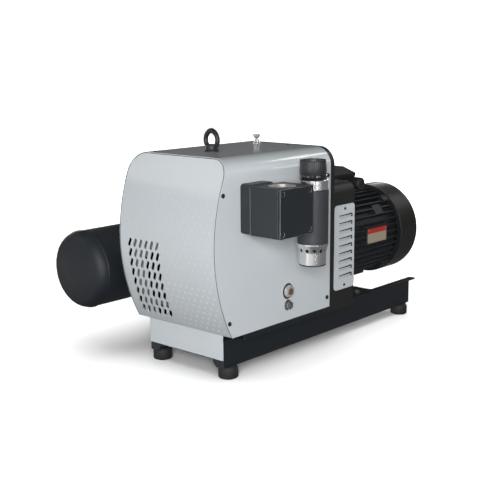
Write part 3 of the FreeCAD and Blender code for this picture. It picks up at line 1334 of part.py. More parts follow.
def terminal_box():
    half = TERMINAL_WIDTH / 2
    y0 = terminal_front()
    y1 = y0 + TERMINAL_LENGTH
    bottom = DRIVE_Z + TERMINAL_PAD_HEIGHT
    top = bottom + TERMINAL_HEIGHT
    body = block(-half, half, y0, y1, bottom, top)
    upright = [e for e in body.Edges if abs(e.tangentAt(e.FirstParameter).z) > 0.99]
    body = body.makeFillet(8, upright)
    wall = TERMINAL_WALL
    body = body.cut(block(-half + wall, half - wall, y0 + wall, y1 - wall, bottom + wall, top))
    return body.cut(rod(gland_start() - X_AXIS * 2 * wall, X_AXIS, GLAND_BORE / 2 + 4, 2 * wall))


def terminal_lid():
    half = TERMINAL_WIDTH / 2 + LID_OVERHANG
    y0 = terminal_front() - LID_OVERHANG
    y1 = terminal_front() + TERMINAL_LENGTH + LID_OVERHANG
    bottom = DRIVE_Z + TERMINAL_PAD_HEIGHT + TERMINAL_HEIGHT
    rim = block(-half, half, y0, y1, bottom, bottom + LID_RIM)
    rim = rim.makeFillet(10, [e for e in rim.Edges if abs(e.tangentAt(e.FirstParameter).z) > 0.99])
    low = bottom + LID_RIM
    high = low + LID_RISE
    # Hipped top: a wide lower rectangle lofted to a smaller one, steep in front, long slope behind
    lower = Part.makePolygon([Vector(-half + 5, y0 + 5, low), Vector(half - 5, y0 + 5, low),
                              Vector(half - 5, y1 - 2, low), Vector(-half + 5, y1 - 2, low),
                              Vector(-half + 5, y0 + 5, low)])
    ridge = y1 - LID_SLOPE
    upper = Part.makePolygon([Vector(-half + 16, y0 + 12, high), Vector(half - 16, y0 + 12, high),
                              Vector(half - 16, ridge, high), Vector(-half + 16, ridge, high),
                              Vector(-half + 16, y0 + 12, high)])
    return union([rim, Part.makeLoft([lower, upper], True, True)])


def gland_start():
    y = terminal_front() + TERMINAL_LENGTH - GLAND_INSET
    z = DRIVE_Z + TERMINAL_PAD_HEIGHT + TERMINAL_HEIGHT - GLAND_DROP
    return Vector(TERMINAL_WIDTH / 2, y, z)


def cable_gland():
    start = gland_start()
    body = hexagon(start, X_AXIS, GLAND_DIAMETER * 0.87, GLAND_LENGTH * 0.35)
    dome = rod(start + X_AXIS * GLAND_LENGTH * 0.35, X_AXIS, GLAND_DIAMETER / 2, GLAND_LENGTH * 0.65)
    dome = dome.makeFillet(5, [e for e in dome.Edges if e.CenterOfMass.x > start.x + GLAND_LENGTH - 1])
    tail = rod(start - X_AXIS * TERMINAL_WALL, X_AXIS, GLAND_BORE / 2 + 4, TERMINAL_WALL)
    gland = union([body, dome, tail])
    bore = rod(start - X_AXIS * TERMINAL_WALL, X_AXIS, GLAND_BORE / 2, GLAND_LENGTH + TERMINAL_WALL)
    return gland.cut(bore)


# Silencer: welded shell with two dished ends, hollow, with an outlet socket behind
def dished_solid(radius, depth, z):
    body = bar_y(SILENCER_X, z, radius, SILENCER_FRONT, SILENCER_REAR)
    knuckle = SILENCER_KNUCKLE - (SILENCER_RADIUS - radius)
    crown = ((radius - knuckle) ** 2 + depth ** 2 - knuckle ** 2) / (2 * (depth - knuckle))
    # Crown and knuckle arcs meet where the line through their centres crosses them
    meet = math.atan2(radius - knuckle, crown - depth)
    knuckle_middle = (math.pi / 2 + meet) / 2
    ends = []
    for y, sign in ((SILENCER_FRONT, -1), (SILENCER_REAR, 1)):

        def spot(arm, rise):
            return Vector(SILENCER_X + arm, y + sign * rise, z)

        pole = spot(0, depth)
        crown_middle = spot(crown * math.sin(meet / 2), depth - crown + crown * math.cos(meet / 2))
        joint = spot(crown * math.sin(meet), depth - crown + crown * math.cos(meet))
        arm = radius - knuckle
        bend = spot(arm + knuckle * math.sin(knuckle_middle), knuckle * math.cos(knuckle_middle))
        rim = spot(radius, 0)
        edges = [Part.Arc(pole, crown_middle, joint).toShape(), Part.Arc(joint, bend, rim).toShape()]
        edges += [Part.makeLine(rim, spot(0, 0)), Part.makeLine(spot(0, 0), pole)]
        ends.append(Part.Face(Part.Wire(edges)).revolve(Vector(SILENCER_X, y, z), Y_AXIS, 360))
    return union([body] + ends)


def silencer_shell():
    wall = SILENCER_WALL
    shell = dished_solid(SILENCER_RADIUS, SILENCER_DOME, EXHAUST_Z)
    inner = dished_solid(SILENCER_RADIUS - wall, SILENCER_DOME - wall, EXHAUST_Z)
    welds = []
    for y in (SILENCER_FRONT, SILENCER_REAR):
        welds.append(Part.makeTorus(SILENCER_RADIUS - 1, SILENCER_WELD + 1,
                                    Vector(SILENCER_X, y, EXHAUST_Z), Y_AXIS))
    end = SILENCER_REAR + SILENCER_DOME
    socket = bar_y(SILENCER_X, EXHAUST_Z, OUTLET_DIAMETER / 2, SILENCER_REAR + 4, end + OUTLET_LENGTH)
    shell = union([shell, socket] + welds).cut(inner)
    shell = shell.cut(bar_y(SILENCER_X, EXHAUST_Z, OUTLET_BORE / 2, SILENCER_REAR - 1, end + OUTLET_LENGTH))
    start = Vector(SILENCER_X, CASING_MIDDLE, EXHAUST_Z)
    return shell.cut(rod(start, X_AXIS, EXHAUST_PIPE / 2, SILENCER_RADIUS + 5))


def exhaust_pipe():
    flange = rod(Vector(-CASING_SIDE, CASING_MIDDLE, EXHAUST_Z), X_AXIS * -1,
                 EXHAUST_FLANGE / 2, EXHAUST_FLANGE_THICKNESS)
    length = SILENCER_OFFSET_X - CASING_SIDE - SILENCER_RADIUS + 12
    pipe = rod(Vector(-CASING_SIDE, CASING_MIDDLE, EXHAUST_Z), X_AXIS * -1, EXHAUST_PIPE / 2, length)
    bore = rod(Vector(-CASING_SIDE, CASING_MIDDLE, EXHAUST_Z), X_AXIS * -1, EXHAUST_BORE / 2, length)
    return flange.fuse(pipe).cut(bore)


# Folded bracket from the base's deck to a saddle under the silencer
def silencer_bracket():
    y0 = BASE_FRONT + BRACKET_SETBACK
    y1 = y0 + BRACKET_WIDTH
    steel = BRACKET_STEEL
    low = BASE_BOTTOM + 12
    web = -BASE_WIDTH / 2
    plate = block(web - steel, web, y0, y1, low, BASE_TOP - 8)
    arm = block(SILENCER_X - 20, web, y0, y1, low, low + steel)
    post = block(SILENCER_X - steel, SILENCER_X + steel, y0, y1, low, EXHAUST_Z - SILENCER_RADIUS)
    saddle = ring_y(SILENCER_X, EXHAUST_Z, SILENCER_RADIUS + steel, SILENCER_RADIUS, y0, y1)
    half = SILENCER_RADIUS * 0.62
    trim = block(SILENCER_X - half, SILENCER_X + half, y0, y1,
                 EXHAUST_Z - SILENCER_RADIUS - 2 * steel, EXHAUST_Z - SILENCER_RADIUS * 0.6)
    rib = prism([Vector(web, y0, low), Vector(web, y0, BASE_TOP - 8), Vector(SILENCER_X, y0, low)],
                Y_AXIS * steel)
    return union([plate, arm, post, saddle.common(trim), rib])


# Inlet: adapter on the hood's side, housing, cover, port ring
def inlet_adapter():
    bottom = HOUSING_BOTTOM
    top = HOUSING_TOP + ADAPTER_STEP
    body = block(HOOD_SIDE, HOUSING_LEFT, ADAPTER_FRONT, ADAPTER_FRONT + ADAPTER_LENGTH, bottom, top)
    corners = []
    for edge in body.Edges:
        middle = edge.CenterOfMass
        along_x = abs(edge.tangentAt(edge.FirstParameter).x) > 0.99
        if along_x:
            corners.append(edge)
    body = body.makeFillet(ADAPTER_CORNER, corners)
    duct = rod(Vector(CASING_SIDE, INLET_Y, INLET_Z), X_AXIS,
               INLET_BORE / 2 + HOUSING_WALL, HOOD_SIDE - CASING_SIDE + 1)
    bore = rod(Vector(CASING_SIDE, INLET_Y, INLET_Z), X_AXIS, INLET_BORE / 2,
               HOUSING_LEFT - CASING_SIDE)
    pocket = rod(Vector(HOUSING_LEFT - CHECK_POCKET_DEPTH, INLET_Y, INLET_Z), X_AXIS,
                 CHECK_POCKET_DIAMETER / 2, CHECK_POCKET_DEPTH)
    return union([body, duct]).cut([bore, pocket])


def inlet_screw_places():
    places = []
    inset = INLET_SCREW_INSET
    for y in (ADAPTER_FRONT + inset, HOUSING_REAR - inset):
        for z in (HOUSING_BOTTOM + inset, HOUSING_TOP - inset):
            places.append((y, z))
    return places


def inlet_housing():
    wall = HOUSING_WALL
    body = block(HOUSING_LEFT, HOUSING_RIGHT, ADAPTER_FRONT, HOUSING_REAR, HOUSING_BOTTOM, HOUSING_TOP)
    along_x = [e for e in body.Edges if abs(e.tangentAt(e.FirstParameter).x) > 0.99]
    body = body.makeFillet(HOUSING_EDGE, along_x)
    hollow = block(HOUSING_LEFT + wall, HOUSING_RIGHT, ADAPTER_FRONT + wall, HOUSING_REAR - wall,
                   HOUSING_BOTTOM + wall, HOUSING_TOP - wall)
    body = body.cut(hollow)
    pillars = []
    for y, z in inlet_screw_places():
        pillar = rod(Vector(HOUSING_LEFT + wall / 2, y, z), X_AXIS, INLET_SCREW_INSET - 2,
                     HOUSING_WIDTH - wall / 2)
        pillars.append(pillar)
    collar = rod(port_centre() - Z_AXIS * PORT_RING_LENGTH, Z_AXIS,
                 PORT_BORE / 2 + PORT_RING_WALL + 4, PORT_RING_LENGTH)
    inside = block(HOUSING_LEFT + wall / 2, HOUSING_RIGHT, ADAPTER_FRONT + wall / 2, HOUSING_REAR - wall / 2,
                   HOUSING_BOTTOM + wall / 2, HOUSING_TOP)
    body = union([body, collar.common(inside)] + [p.common(inside) for p in pillars])
    seat = rod(Vector(HOUSING_LEFT, INLET_Y, INLET_Z), X_AXIS, INLET_BORE / 2 - 1, wall)
    port = rod(port_centre() - Z_AXIS * PORT_RING_LENGTH, Z_AXIS, PORT_BORE / 2 + PORT_RING_WALL,
               PORT_RING_LENGTH)
    neck = rod(Vector(VALVE_X, HOUSING_REAR - wall, INLET_Z), Y_AXIS, VALVE_NECK_DIAMETER / 2, wall)
    body = body.cut([seat, port, neck])
    for y, z in inlet_screw_places():
        depth = INLET_SCREW_LENGTH - (INLET_COVER_THICKNESS - COUNTERBORE_DEPTH)
        body = body.cut(rod(Vector(HOUSING_RIGHT - depth, y, z), X_AXIS, INLET_SCREW_SHANK / 2, depth))
    return body


def port_centre():
    return Vector((HOUSING_LEFT + HOUSING_RIGHT) / 2 + 3, ADAPTER_FRONT + PORT_SETBACK, HOUSING_TOP)


def inlet_port_ring():
    base = port_centre() - Z_AXIS * PORT_RING_LENGTH
    return ring(base, Z_AXIS, PORT_BORE / 2 + PORT_RING_WALL, PORT_BORE / 2, PORT_RING_LENGTH)


def inlet_cover():
    x1 = HOUSING_RIGHT + INLET_COVER_THICKNESS
    cover = block(HOUSING_RIGHT, x1, ADAPTER_FRONT, HOUSING_REAR, HOUSING_BOTTOM, HOUSING_TOP)
    along_x = [e for e in cover.Edges if abs(e.tangentAt(e.FirstParameter).x) > 0.99]
    cover = cover.makeFillet(HOUSING_EDGE, along_x)
    holes = []
    for y, z in inlet_screw_places():
        holes.append(rod(Vector(HOUSING_RIGHT, y, z), X_AXIS, INLET_SCREW_SHANK / 2,
                         INLET_COVER_THICKNESS))
        holes.append(rod(Vector(x1 - COUNTERBORE_DEPTH, y, z), X_AXIS,
                         INLET_SCREW_HEAD / 2 + COUNTERBORE_GAP, COUNTERBORE_DEPTH))
    return cover.cut(holes)


def inlet_cover_screws():
    screws = []
    seat_x = HOUSING_RIGHT + INLET_COVER_THICKNESS - COUNTERBORE_DEPTH
    for y, z in inlet_screw_places():
        head = rod(Vector(seat_x, y, z), X_AXIS, INLET_SCREW_HEAD / 2, INLET_SCREW_HEAD_HEIGHT)
        key = Vector(seat_x + INLET_SCREW_HEAD_HEIGHT / 3, y, z)
        head = head.cut(hexagon(key, X_AXIS, INLET_SCREW_KEY, INLET_SCREW_HEAD_HEIGHT))
        start = Vector(seat_x - INLET_SCREW_LENGTH, y, z)
        screws.append(head.fuse(rod(start, X_AXIS, INLET_SCREW_SHANK / 2, INLET_SCREW_LENGTH)))
    return Part.makeCompound(screws)


# Check valve: disc held against the housing's seat by a spring
def check_valve_disc():
    face = HOUSING_LEFT - 0.1
    return rod(Vector(face - CHECK_DISC_THICKNESS, INLET_Y, INLET_Z), X_AXIS,
               CHECK_DISC_DIAMETER / 2, CHECK_DISC_THICKNESS)


def check_valve_spring():
    start = Vector(HOUSING_LEFT - CHECK_POCKET_DEPTH, INLET_Y, INLET_Z)
    length = CHECK_POCKET_DEPTH - 0.1 - CHECK_DISC_THICKNESS
    return helix_spring(start, X_AXIS, CHECK_DISC_DIAMETER / 2 - 1.5, CHECK_WIRE / 2, length, 3)


# Relief valve
def valve_sleeve():
    outer = VALVE_SLEEVE_DIAMETER / 2
    start = Vector(VALVE_X, VALVE_Y, VALVE_SEAT)
    body = rod(start, Z_AXIS, outer, VALVE_SLEEVE_LENGTH)
    neck_start = Vector(VALVE_X, HOUSING_REAR - HOUSING_WALL, INLET_Z)
    neck = rod(neck_start, Y_AXIS, VALVE_NECK_DIAMETER / 2, VALVE_BEHIND_HOUSING + HOUSING_WALL)
    body = body.fuse(neck)
    bore = rod(start, Z_AXIS, outer - VALVE_SLEEVE_WALL, VALVE_SLEEVE_LENGTH)
    passage = rod(neck_start, Y_AXIS, VALVE_NECK_BORE / 2, VALVE_BEHIND_HOUSING + HOUSING_WALL)
    return body.cut([bore, passage])


def valve_collar():
    outer = VALVE_COLLAR_DIAMETER / 2
    start = Vector(VALVE_X, VALVE_Y, VALVE_SLEEVE_TOP)
    body = rod(start, Z_AXIS, outer, VALVE_COLLAR_HEIGHT)
    body = body.makeChamfer(1.5, [e for e in body.Edges if e.Length > 3 * outer])
    plug = rod(start - Z_AXIS * 6, Z_AXIS, VALVE_SLEEVE_DIAMETER / 2 - VALVE_SLEEVE_WALL, 6)
    spigot = rod(start + Z_AXIS * VALVE_COLLAR_HEIGHT, Z_AXIS,
                 VALVE_CAP_DIAMETER / 2 - VALVE_CAP_WALL - RUNNING_GAP, 8)
    body = union([body, plug, spigot])
    return body.cut(rod(start - Z_AXIS * 7, Z_AXIS, VALVE_STEM / 2 + RUNNING_GAP, VALVE_COLLAR_HEIGHT + 20))


def valve_cap():
    outer = VALVE_CAP_DIAMETER / 2
    start = Vector(VALVE_X, VALVE_Y, VALVE_COLLAR_TOP + 0.1)
    height = VALVE_CAP_HEIGHT - 0.1
    body = rod(start, Z_AXIS, outer, height)
    body = body.makeFillet(3, [e for e in body.Edges if e.CenterOfMass.z > start.z + height - 0.5])
    body = body.cut(rod(start, Z_AXIS, outer - VALVE_CAP_WALL, height - VALVE_CAP_WALL))
    grooves = []
    for index in range(VALVE_CAP_RIBS):
        turn = 2 * math.pi * index / VALVE_CAP_RIBS
        place = start + Vector(math.cos(turn), math.sin(turn), 0) * (outer + 1.2)
        grooves.append(rod(place + Z_AXIS * 9, Z_AXIS, 2.2, height - 14))
    return body.cut(grooves)


def valve_intake():
    seat = VALVE_SEAT_BORE / 2
    top = VALVE_SLEEVE_DIAMETER / 2 - 0.5
    foot = VALVE_INTAKE_FOOT / 2
    wall = foot - VALVE_INTAKE_WALL
    bottom = VALVE_SEAT - VALVE_INTAKE_LENGTH
    rim = bottom + VALVE_INTAKE_RIM
    under = VALVE_SEAT - VALVE_SEAT_THICKNESS
    profile = [(seat, VALVE_SEAT), (top, VALVE_SEAT), (top, VALVE_SEAT - VALVE_INTAKE_RIM),
               (foot, VALVE_SEAT - VALVE_INTAKE_TAPER), (foot, rim), (foot - 1, rim),
               (foot - 1, bottom), (wall, bottom), (wall, under), (seat, under)]
    body = revolve([Vector(VALVE_X + r, VALVE_Y, z) for r, z in profile],
                   Vector(VALVE_X, VALVE_Y, bottom), Z_AXIS)
    spigot = ring(Vector(VALVE_X, VALVE_Y, VALVE_SEAT), Z_AXIS,
                  VALVE_SLEEVE_DIAMETER / 2 - VALVE_SLEEVE_WALL, VALVE_POPPET_DIAMETER / 2 + 3, 4)
    body = body.fuse(spigot)
    holes = []
    height = VALVE_SEAT - VALVE_INTAKE_HOLE_DROP
    for index in range(VALVE_INTAKE_HOLES):
        turn = 2 * math.pi * (index + 0.5) / VALVE_INTAKE_HOLES
        direction = Vector(math.cos(turn), math.sin(turn), 0)
        start = Vector(VALVE_X, VALVE_Y, height) + direction * (wall - 2)
        holes.append(rod(start, direction, VALVE_INTAKE_HOLE / 2, 2 * VALVE_INTAKE_WALL))
    return body.cut(holes)


def valve_poppet():
    seat = VALVE_SEAT + 0.1
    plate = rod(Vector(VALVE_X, VALVE_Y, seat), Z_AXIS, VALVE_POPPET_DIAMETER / 2, VALVE_POPPET_THICKNESS)
    stem = rod(Vector(VALVE_X, VALVE_Y, seat), Z_AXIS, VALVE_STEM / 2,
               VALVE_SLEEVE_LENGTH + VALVE_COLLAR_HEIGHT + 4)
    return plate.fuse(stem)


def valve_spring():
    start = Vector(VALVE_X, VALVE_Y, VALVE_SEAT + 0.1 + VALVE_POPPET_THICKNESS)
    length = VALVE_SLEEVE_LENGTH - 6 - VALVE_POPPET_THICKNESS - 0.1
    return helix_spring(start, Z_AXIS, VALVE_POPPET_DIAMETER / 2 - 8, VALVE_WIRE / 2, length, 8)


NODES = {
    "base_frame": base_frame,
    "rubber_feet": rubber_feet,
    "foot_studs": foot_studs,
    "lower_front_panel": lower_front_panel,
    "hood_rails": hood_rails,
    "hood_shell": hood_shell,
    "hood_front_panel": hood_front_panel,
    "hood_screws": hood_screws,
    "rear_cover": rear_cover,
    "louvre_plate": louvre_plate,
    "lifting_eye": lifting_eye,
    "top_knob": top_knob,
    "pump_casing": pump_casing,
    "front_end_plate": front_end_plate,
    "rear_end_plate": rear_end_plate,
    "pump_bearings": pump_bearings,
    "gear_case": gear_case,
    "gear_case_cover": gear_case_cover,
    "shaft_seal": shaft_seal,
    "oil_sight_fitting": oil_sight_fitting,
    "oil_sight_lens": oil_sight_lens,
    "oil_drain_plug": oil_drain_plug,
    "drive_shaft": drive_shaft,
    "driven_shaft": driven_shaft,
    "drive_rotor": drive_rotor,
    "driven_rotor": driven_rotor,
    "drive_gear": lambda: timing_gear(DRIVE_Z, 0),
    "driven_gear": lambda: timing_gear(DRIVEN_Z, 180 / GEAR_TEETH),
    "cooling_fan": cooling_fan,
    "coupling_hub_pump": coupling_hub_pump,
    "coupling_spider": coupling_spider,
    "coupling_hub_motor": coupling_hub_motor,
    "bell_housing": bell_housing,
    "motor_front_shield": motor_front_shield,
    "motor_frame": motor_frame,
    "stator": stator,
    "motor_rotor": motor_rotor,
    "motor_bearings": motor_bearings,
    "motor_rear_shield": motor_rear_shield,
    "motor_fan": motor_fan,
    "fan_cowl": fan_cowl,
    "terminal_box": terminal_box,
    "terminal_lid": terminal_lid,
    "cable_gland": cable_gland,
    "silencer_shell": silencer_shell,
    "exhaust_pipe": exhaust_pipe,
    "silencer_bracket": silencer_bracket,
    "inlet_adapter": inlet_adapter,
    "inlet_housing": inlet_housing,
    "inlet_cover": inlet_cover,
    "inlet_cover_screws": inlet_cover_screws,
    "inlet_port_ring": inlet_port_ring,
    "check_valve_disc": check_valve_disc,
    "check_valve_spring": check_valve_spring,
    "valve_sleeve": valve_sleeve,
    "valve_collar": valve_collar,
    "valve_cap": valve_cap,
    "valve_intake": valve_intake,
    "valve_poppet": valve_poppet,
    "valve_spring": valve_spring,
}

os.makedirs("parts", exist_ok=True)
for name, make in NODES.items():
    shape = make()
    shape.exportStep("parts/" + name + ".step")
    print(name, len(shape.Solids), round(shape.Volume / 1000, 1), shape.isValid())
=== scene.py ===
import math

import bmesh
import bpy
from mathutils import Matrix, Vector


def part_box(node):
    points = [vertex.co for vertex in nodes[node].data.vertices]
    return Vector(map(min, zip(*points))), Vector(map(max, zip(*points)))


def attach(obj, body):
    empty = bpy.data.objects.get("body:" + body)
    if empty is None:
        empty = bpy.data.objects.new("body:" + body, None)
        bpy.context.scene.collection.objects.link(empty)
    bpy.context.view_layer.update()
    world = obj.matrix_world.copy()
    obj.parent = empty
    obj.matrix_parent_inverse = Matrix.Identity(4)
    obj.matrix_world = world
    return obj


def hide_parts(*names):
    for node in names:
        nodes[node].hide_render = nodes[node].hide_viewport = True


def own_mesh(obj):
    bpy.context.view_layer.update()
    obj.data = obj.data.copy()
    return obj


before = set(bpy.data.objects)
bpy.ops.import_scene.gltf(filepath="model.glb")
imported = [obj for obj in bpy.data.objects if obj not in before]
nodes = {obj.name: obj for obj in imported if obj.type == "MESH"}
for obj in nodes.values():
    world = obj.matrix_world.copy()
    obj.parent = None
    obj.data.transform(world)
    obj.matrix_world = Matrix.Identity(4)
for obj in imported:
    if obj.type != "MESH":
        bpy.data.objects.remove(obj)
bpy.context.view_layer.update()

MM = 0.001

# The studio: a camera at the photograph's place, a pale floor and a bright round backdrop.
# The main soft box stands beside the camera, weaker ones on the right, on the left and behind,
# and the sky is dim, so that the hood's side and front are bright and its flat top stays dark.
CAMERA_PLACE = (1.6237, -1.9824, 0.7732)
CAMERA_TURN = (77.721, 0.16, 40.364)
FLOOR_GREY = 0.93
FLOOR_REACH = 8000.0
GLOW_START, GLOW_FULL = 0.9, 3.0
WALL_RADIUS, WALL_HEIGHT, WALL_MIDDLE = 7000.0, 7000.0, 3400.0
camera_data = bpy.data.cameras.new("camera")
camera_data.lens = 66.85
camera_data.sensor_width = 36
camera_data.shift_x = -0.0463
camera_data.shift_y = 0.0203
camera_data.clip_end = 50
camera = bpy.data.objects.new("camera", camera_data)
camera.location = CAMERA_PLACE
camera.rotation_euler = [math.radians(degrees) for degrees in CAMERA_TURN]
bpy.context.collection.objects.link(camera)
bpy.context.scene.camera = camera
bpy.context.scene.view_settings.view_transform = "Standard"


def new_material(name):
    material = bpy.data.materials.new(name)
    material.use_nodes = True
    return material, material.node_tree.nodes["Principled BSDF"]


def join(tree, source, socket):
    tree.links.new(source, socket)


# A node takes what it is given: a constant is set in its socket, and an output is linked to it
def new_node(tree, kind, inputs=(), **settings):
    node = tree.nodes.new("ShaderNode" + kind)
    for name, value in settings.items():
        setattr(node, name, value)
    for name, value in dict(inputs).items():
        if isinstance(value, bpy.types.NodeSocket):
            join(tree, value, node.inputs[name])
        else:
            node.inputs[name].default_value = value
    return node


def new_object(name, form, material, smooth_angle=None):
    bmesh.ops.scale(form, vec=(MM, MM, MM), verts=form.verts)
    mesh = bpy.data.meshes.new(name)
    form.to_mesh(mesh)
    form.free()
    thing = bpy.data.objects.new(name, mesh)
    bpy.context.collection.objects.link(thing)
    mesh.materials.append(material)
    if smooth_angle is not None:
        mesh.shade_smooth()
        mesh.set_sharp_from_angle(angle=math.radians(smooth_angle))
    return thing


floor_paint, floor_skin = new_material("studio_floor")
floor_skin.inputs["Base Color"].default_value = (FLOOR_GREY, FLOOR_GREY, FLOOR_GREY, 1)
floor_skin.inputs["Roughness"].default_value = 1.0
floor_skin.inputs["Specular IOR Level"].default_value = 0.0
floor_skin.inputs["Emission Color"].default_value = (1, 1, 1, 1)
# Past the lamp's pool of light the floor glows by itself, up to the backdrop
floor_tree = floor_paint.node_tree
floor_place = new_node(floor_tree, "TexCoord").outputs["Object"]
floor_reach = new_node(floor_tree, "VectorMath", {0: floor_place}, operation="LENGTH")
floor_glow = new_node(floor_tree, "MapRange", {"Value": floor_reach.outputs["Value"],
                                               "From Min": GLOW_START, "From Max": GLOW_FULL})
join(floor_tree, floor_glow.outputs["Result"], floor_skin.inputs["Emission Strength"])
floor_form = bmesh.new()
bmesh.ops.create_grid(floor_form, x_segments=1, y_segments=1, size=FLOOR_REACH)
floor = new_object("floor", floor_form, floor_paint)
floor.visible_glossy = False
floor.visible_diffuse = False
wall_paint, wall_skin = new_material("studio_wall")
wall_skin.inputs["Base Color"].default_value = (0, 0, 0, 1)
wall_skin.inputs["Emission Color"].default_value = (1, 1, 1, 1)
wall_skin.inputs["Emission Strength"].default_value = 1.0
wall_form = bmesh.new()
bmesh.ops.create_cone(wall_form, segments=64, radius1=WALL_RADIUS, radius2=WALL_RADIUS,
                      depth=WALL_HEIGHT, cap_ends=False)
bmesh.ops.translate(wall_form, vec=(0, 0, WALL_MIDDLE), verts=wall_form.verts)
wall = new_object("backdrop_wall", wall_form, wall_paint, smooth_angle=40)
wall.visible_glossy = False
wall.visible_diffuse = False


def soft_light(name, place, target, width, height, watts):
    data = bpy.data.lights.new(name, "AREA")
    data.shape = "RECTANGLE"
    data.size = width
    data.size_y = height
    data.energy = watts
    light = bpy.data.objects.new(name, data)
    light.location = place
    aim = Vector(target) - Vector(place)
    light.rotation_euler = aim.to_track_quat("-Z", "Y").to_euler()
    bpy.context.collection.objects.link(light)
    return light


def leave_out(light, *names):
    shaded = bpy.data.collections.new(light.name + "_leaves_out")
    for name in names:
        shaded.objects.link(nodes[name])
    for member in shaded.collection_objects:
        member.light_linking.link_state = "EXCLUDE"
    light.light_linking.receiver_collection = shaded


# The key light comes in two halves: one that only lights, and one that only draws shine and
# leaves out the hood's shell, so that its flat top stays grey when it is seen from behind
KEY_LIGHT = {"place": (2.2, -2.8, 1.15), "target": (0, -0.2, 0.35), "width": 1.2, "height": 1.2,
             "watts": 118}
key_box = soft_light("key_box", **KEY_LIGHT)
key_sheen = soft_light("key_sheen", **KEY_LIGHT)
key_box.visible_glossy = False
key_sheen.visible_diffuse = False
leave_out(key_sheen, "hood_shell")
soft_light("side_box", (3.0, -0.6, 0.9), (0, -0.1, 0.35), 2.0, 1.2, 12)
soft_light("front_left_box", (-2.04, -2.05, 1.8), (0, -0.4, 0.4), 1.2, 1.0, 4.5)
soft_light("rear_strip", (0.74, 2.17, 2.3), (0.14, -0.15, 0.53), 0.6, 0.25, 3.0)
soft_light("rear_top_box", (1.3, 2.6, 1.9), (0.1, -0.1, 0.5), 2.4, 0.8, 5)
soft_light("rear_low_strip", (1.9, 2.17, 1.2), (0.16, -0.15, 0.5), 0.4, 0.25, 1.5)
# Two low boxes light the sides that the photograph doesn't show
soft_light("left_fill_box", (-3.3, 0.9, 0.7), (0, 0, 0.3), 1.4, 1.0, 20)
rear_fill_box = soft_light("rear_fill_box", (-1.1, 3.3, 0.7), (0, 0, 0.3), 1.4, 1.0, 22)
leave_out(rear_fill_box, "hood_shell", "base_frame")
# Two narrow strips only draw bright lines along the relief valve's turned metal
RELIEF_VALVE = (0.24, -0.21, 0.4)
for name, place in (("right_glint", (2.7, -1.1, 0.6)), ("front_glint", (0.1, -2.8, 0.6))):
    glint = soft_light(name, place, RELIEF_VALVE, 0.14, 1.2, 3.5)
    glint.visible_diffuse = False
floor_lamp = soft_light("floor_lamp", (0, 0, 5.0), (0, 0, 0), 8.0, 8.0, 480)
lit_by_floor_lamp = bpy.data.collections.new("lit_by_floor_lamp")
lit_by_floor_lamp.objects.link(floor)
floor_lamp.light_linking.receiver_collection = lit_by_floor_lamp

SKY_STOPS = ((0.34, 0.42), (0.46, 0.42), (0.52, 0.27), (0.66, 0.20))
MIRRORED_BRIGHTEST = (-0.45, -0.89, 0)
MIRRORED_DARK, MIRRORED_BRIGHT = 0.42, 2.2
SKY_STRENGTH = 0.58
world = bpy.data.worlds.new("world")
world.use_nodes = True
sky = world.node_tree
sky_background = sky.nodes["Background"]
sky_way = new_node(sky, "TexCoord").outputs["Generated"]
sky_split = new_node(sky, "SeparateXYZ", {0: sky_way})
sky_height = new_node(sky, "MapRange", {"Value": sky_split.outputs["Z"], "From Min": -1.0})
sky_tone = new_node(sky, "ValToRGB", {"Fac": sky_height.outputs["Result"]})
join(sky, sky_tone.outputs["Color"], sky_background.inputs["Color"])
sky_stops = sky_tone.color_ramp.elements
sky_stops[0].position = 0.15
sky_stops[0].color = (0.30, 0.30, 0.30, 1)
sky_stops[1].position = 1.0
sky_stops[1].color = (0.12, 0.125, 0.12, 1)
for position, value in SKY_STOPS:
    stop = sky_stops.new(position)
    stop.color = (value, value, value, 1)
# What surfaces mirror is brightest towards the front left and dark towards the right rear
sky_left = new_node(sky, "VectorMath", {0: sky_way, 1: MIRRORED_BRIGHTEST}, operation="DOT_PRODUCT")
sky_mirror = new_node(sky, "MapRange", {"Value": sky_left.outputs["Value"], "From Min": 0.45,
                                        "From Max": 0.95, "To Min": MIRRORED_DARK,
                                        "To Max": MIRRORED_BRIGHT})
sky_rays = new_node(sky, "LightPath")
sky_strength = new_node(sky, "Mix", {"Factor": sky_rays.outputs["Is Glossy Ray"],
                                     "A": SKY_STRENGTH, "B": sky_mirror.outputs["Result"]})
join(sky, sky_strength.outputs["Result"], sky_background.inputs["Strength"])
bpy.context.scene.world = world

# The base is folded from steel sheet painted black, with an open cut-out under the motor and a
# bolt through its deck. Most pieces share one surface effect: a fine grain, a colour that drifts
# a little, softly rounded edges that can be painted paler, for rubbed paint and as a painted
# highlight, and thin dust on top.
PAINT_BLACK = (0.010, 0.013, 0.017)
STEEL_BEND = 1.2 * MM
EDGE_WEAR_AND_HIGHLIGHT_GREY = (0.10, 0.11, 0.12)
DUST_GREY = (0.29, 0.30, 0.30, 1)
GRAIN_HEIGHT = 0.4 * MM
MERGE_DISTANCE = 0.005


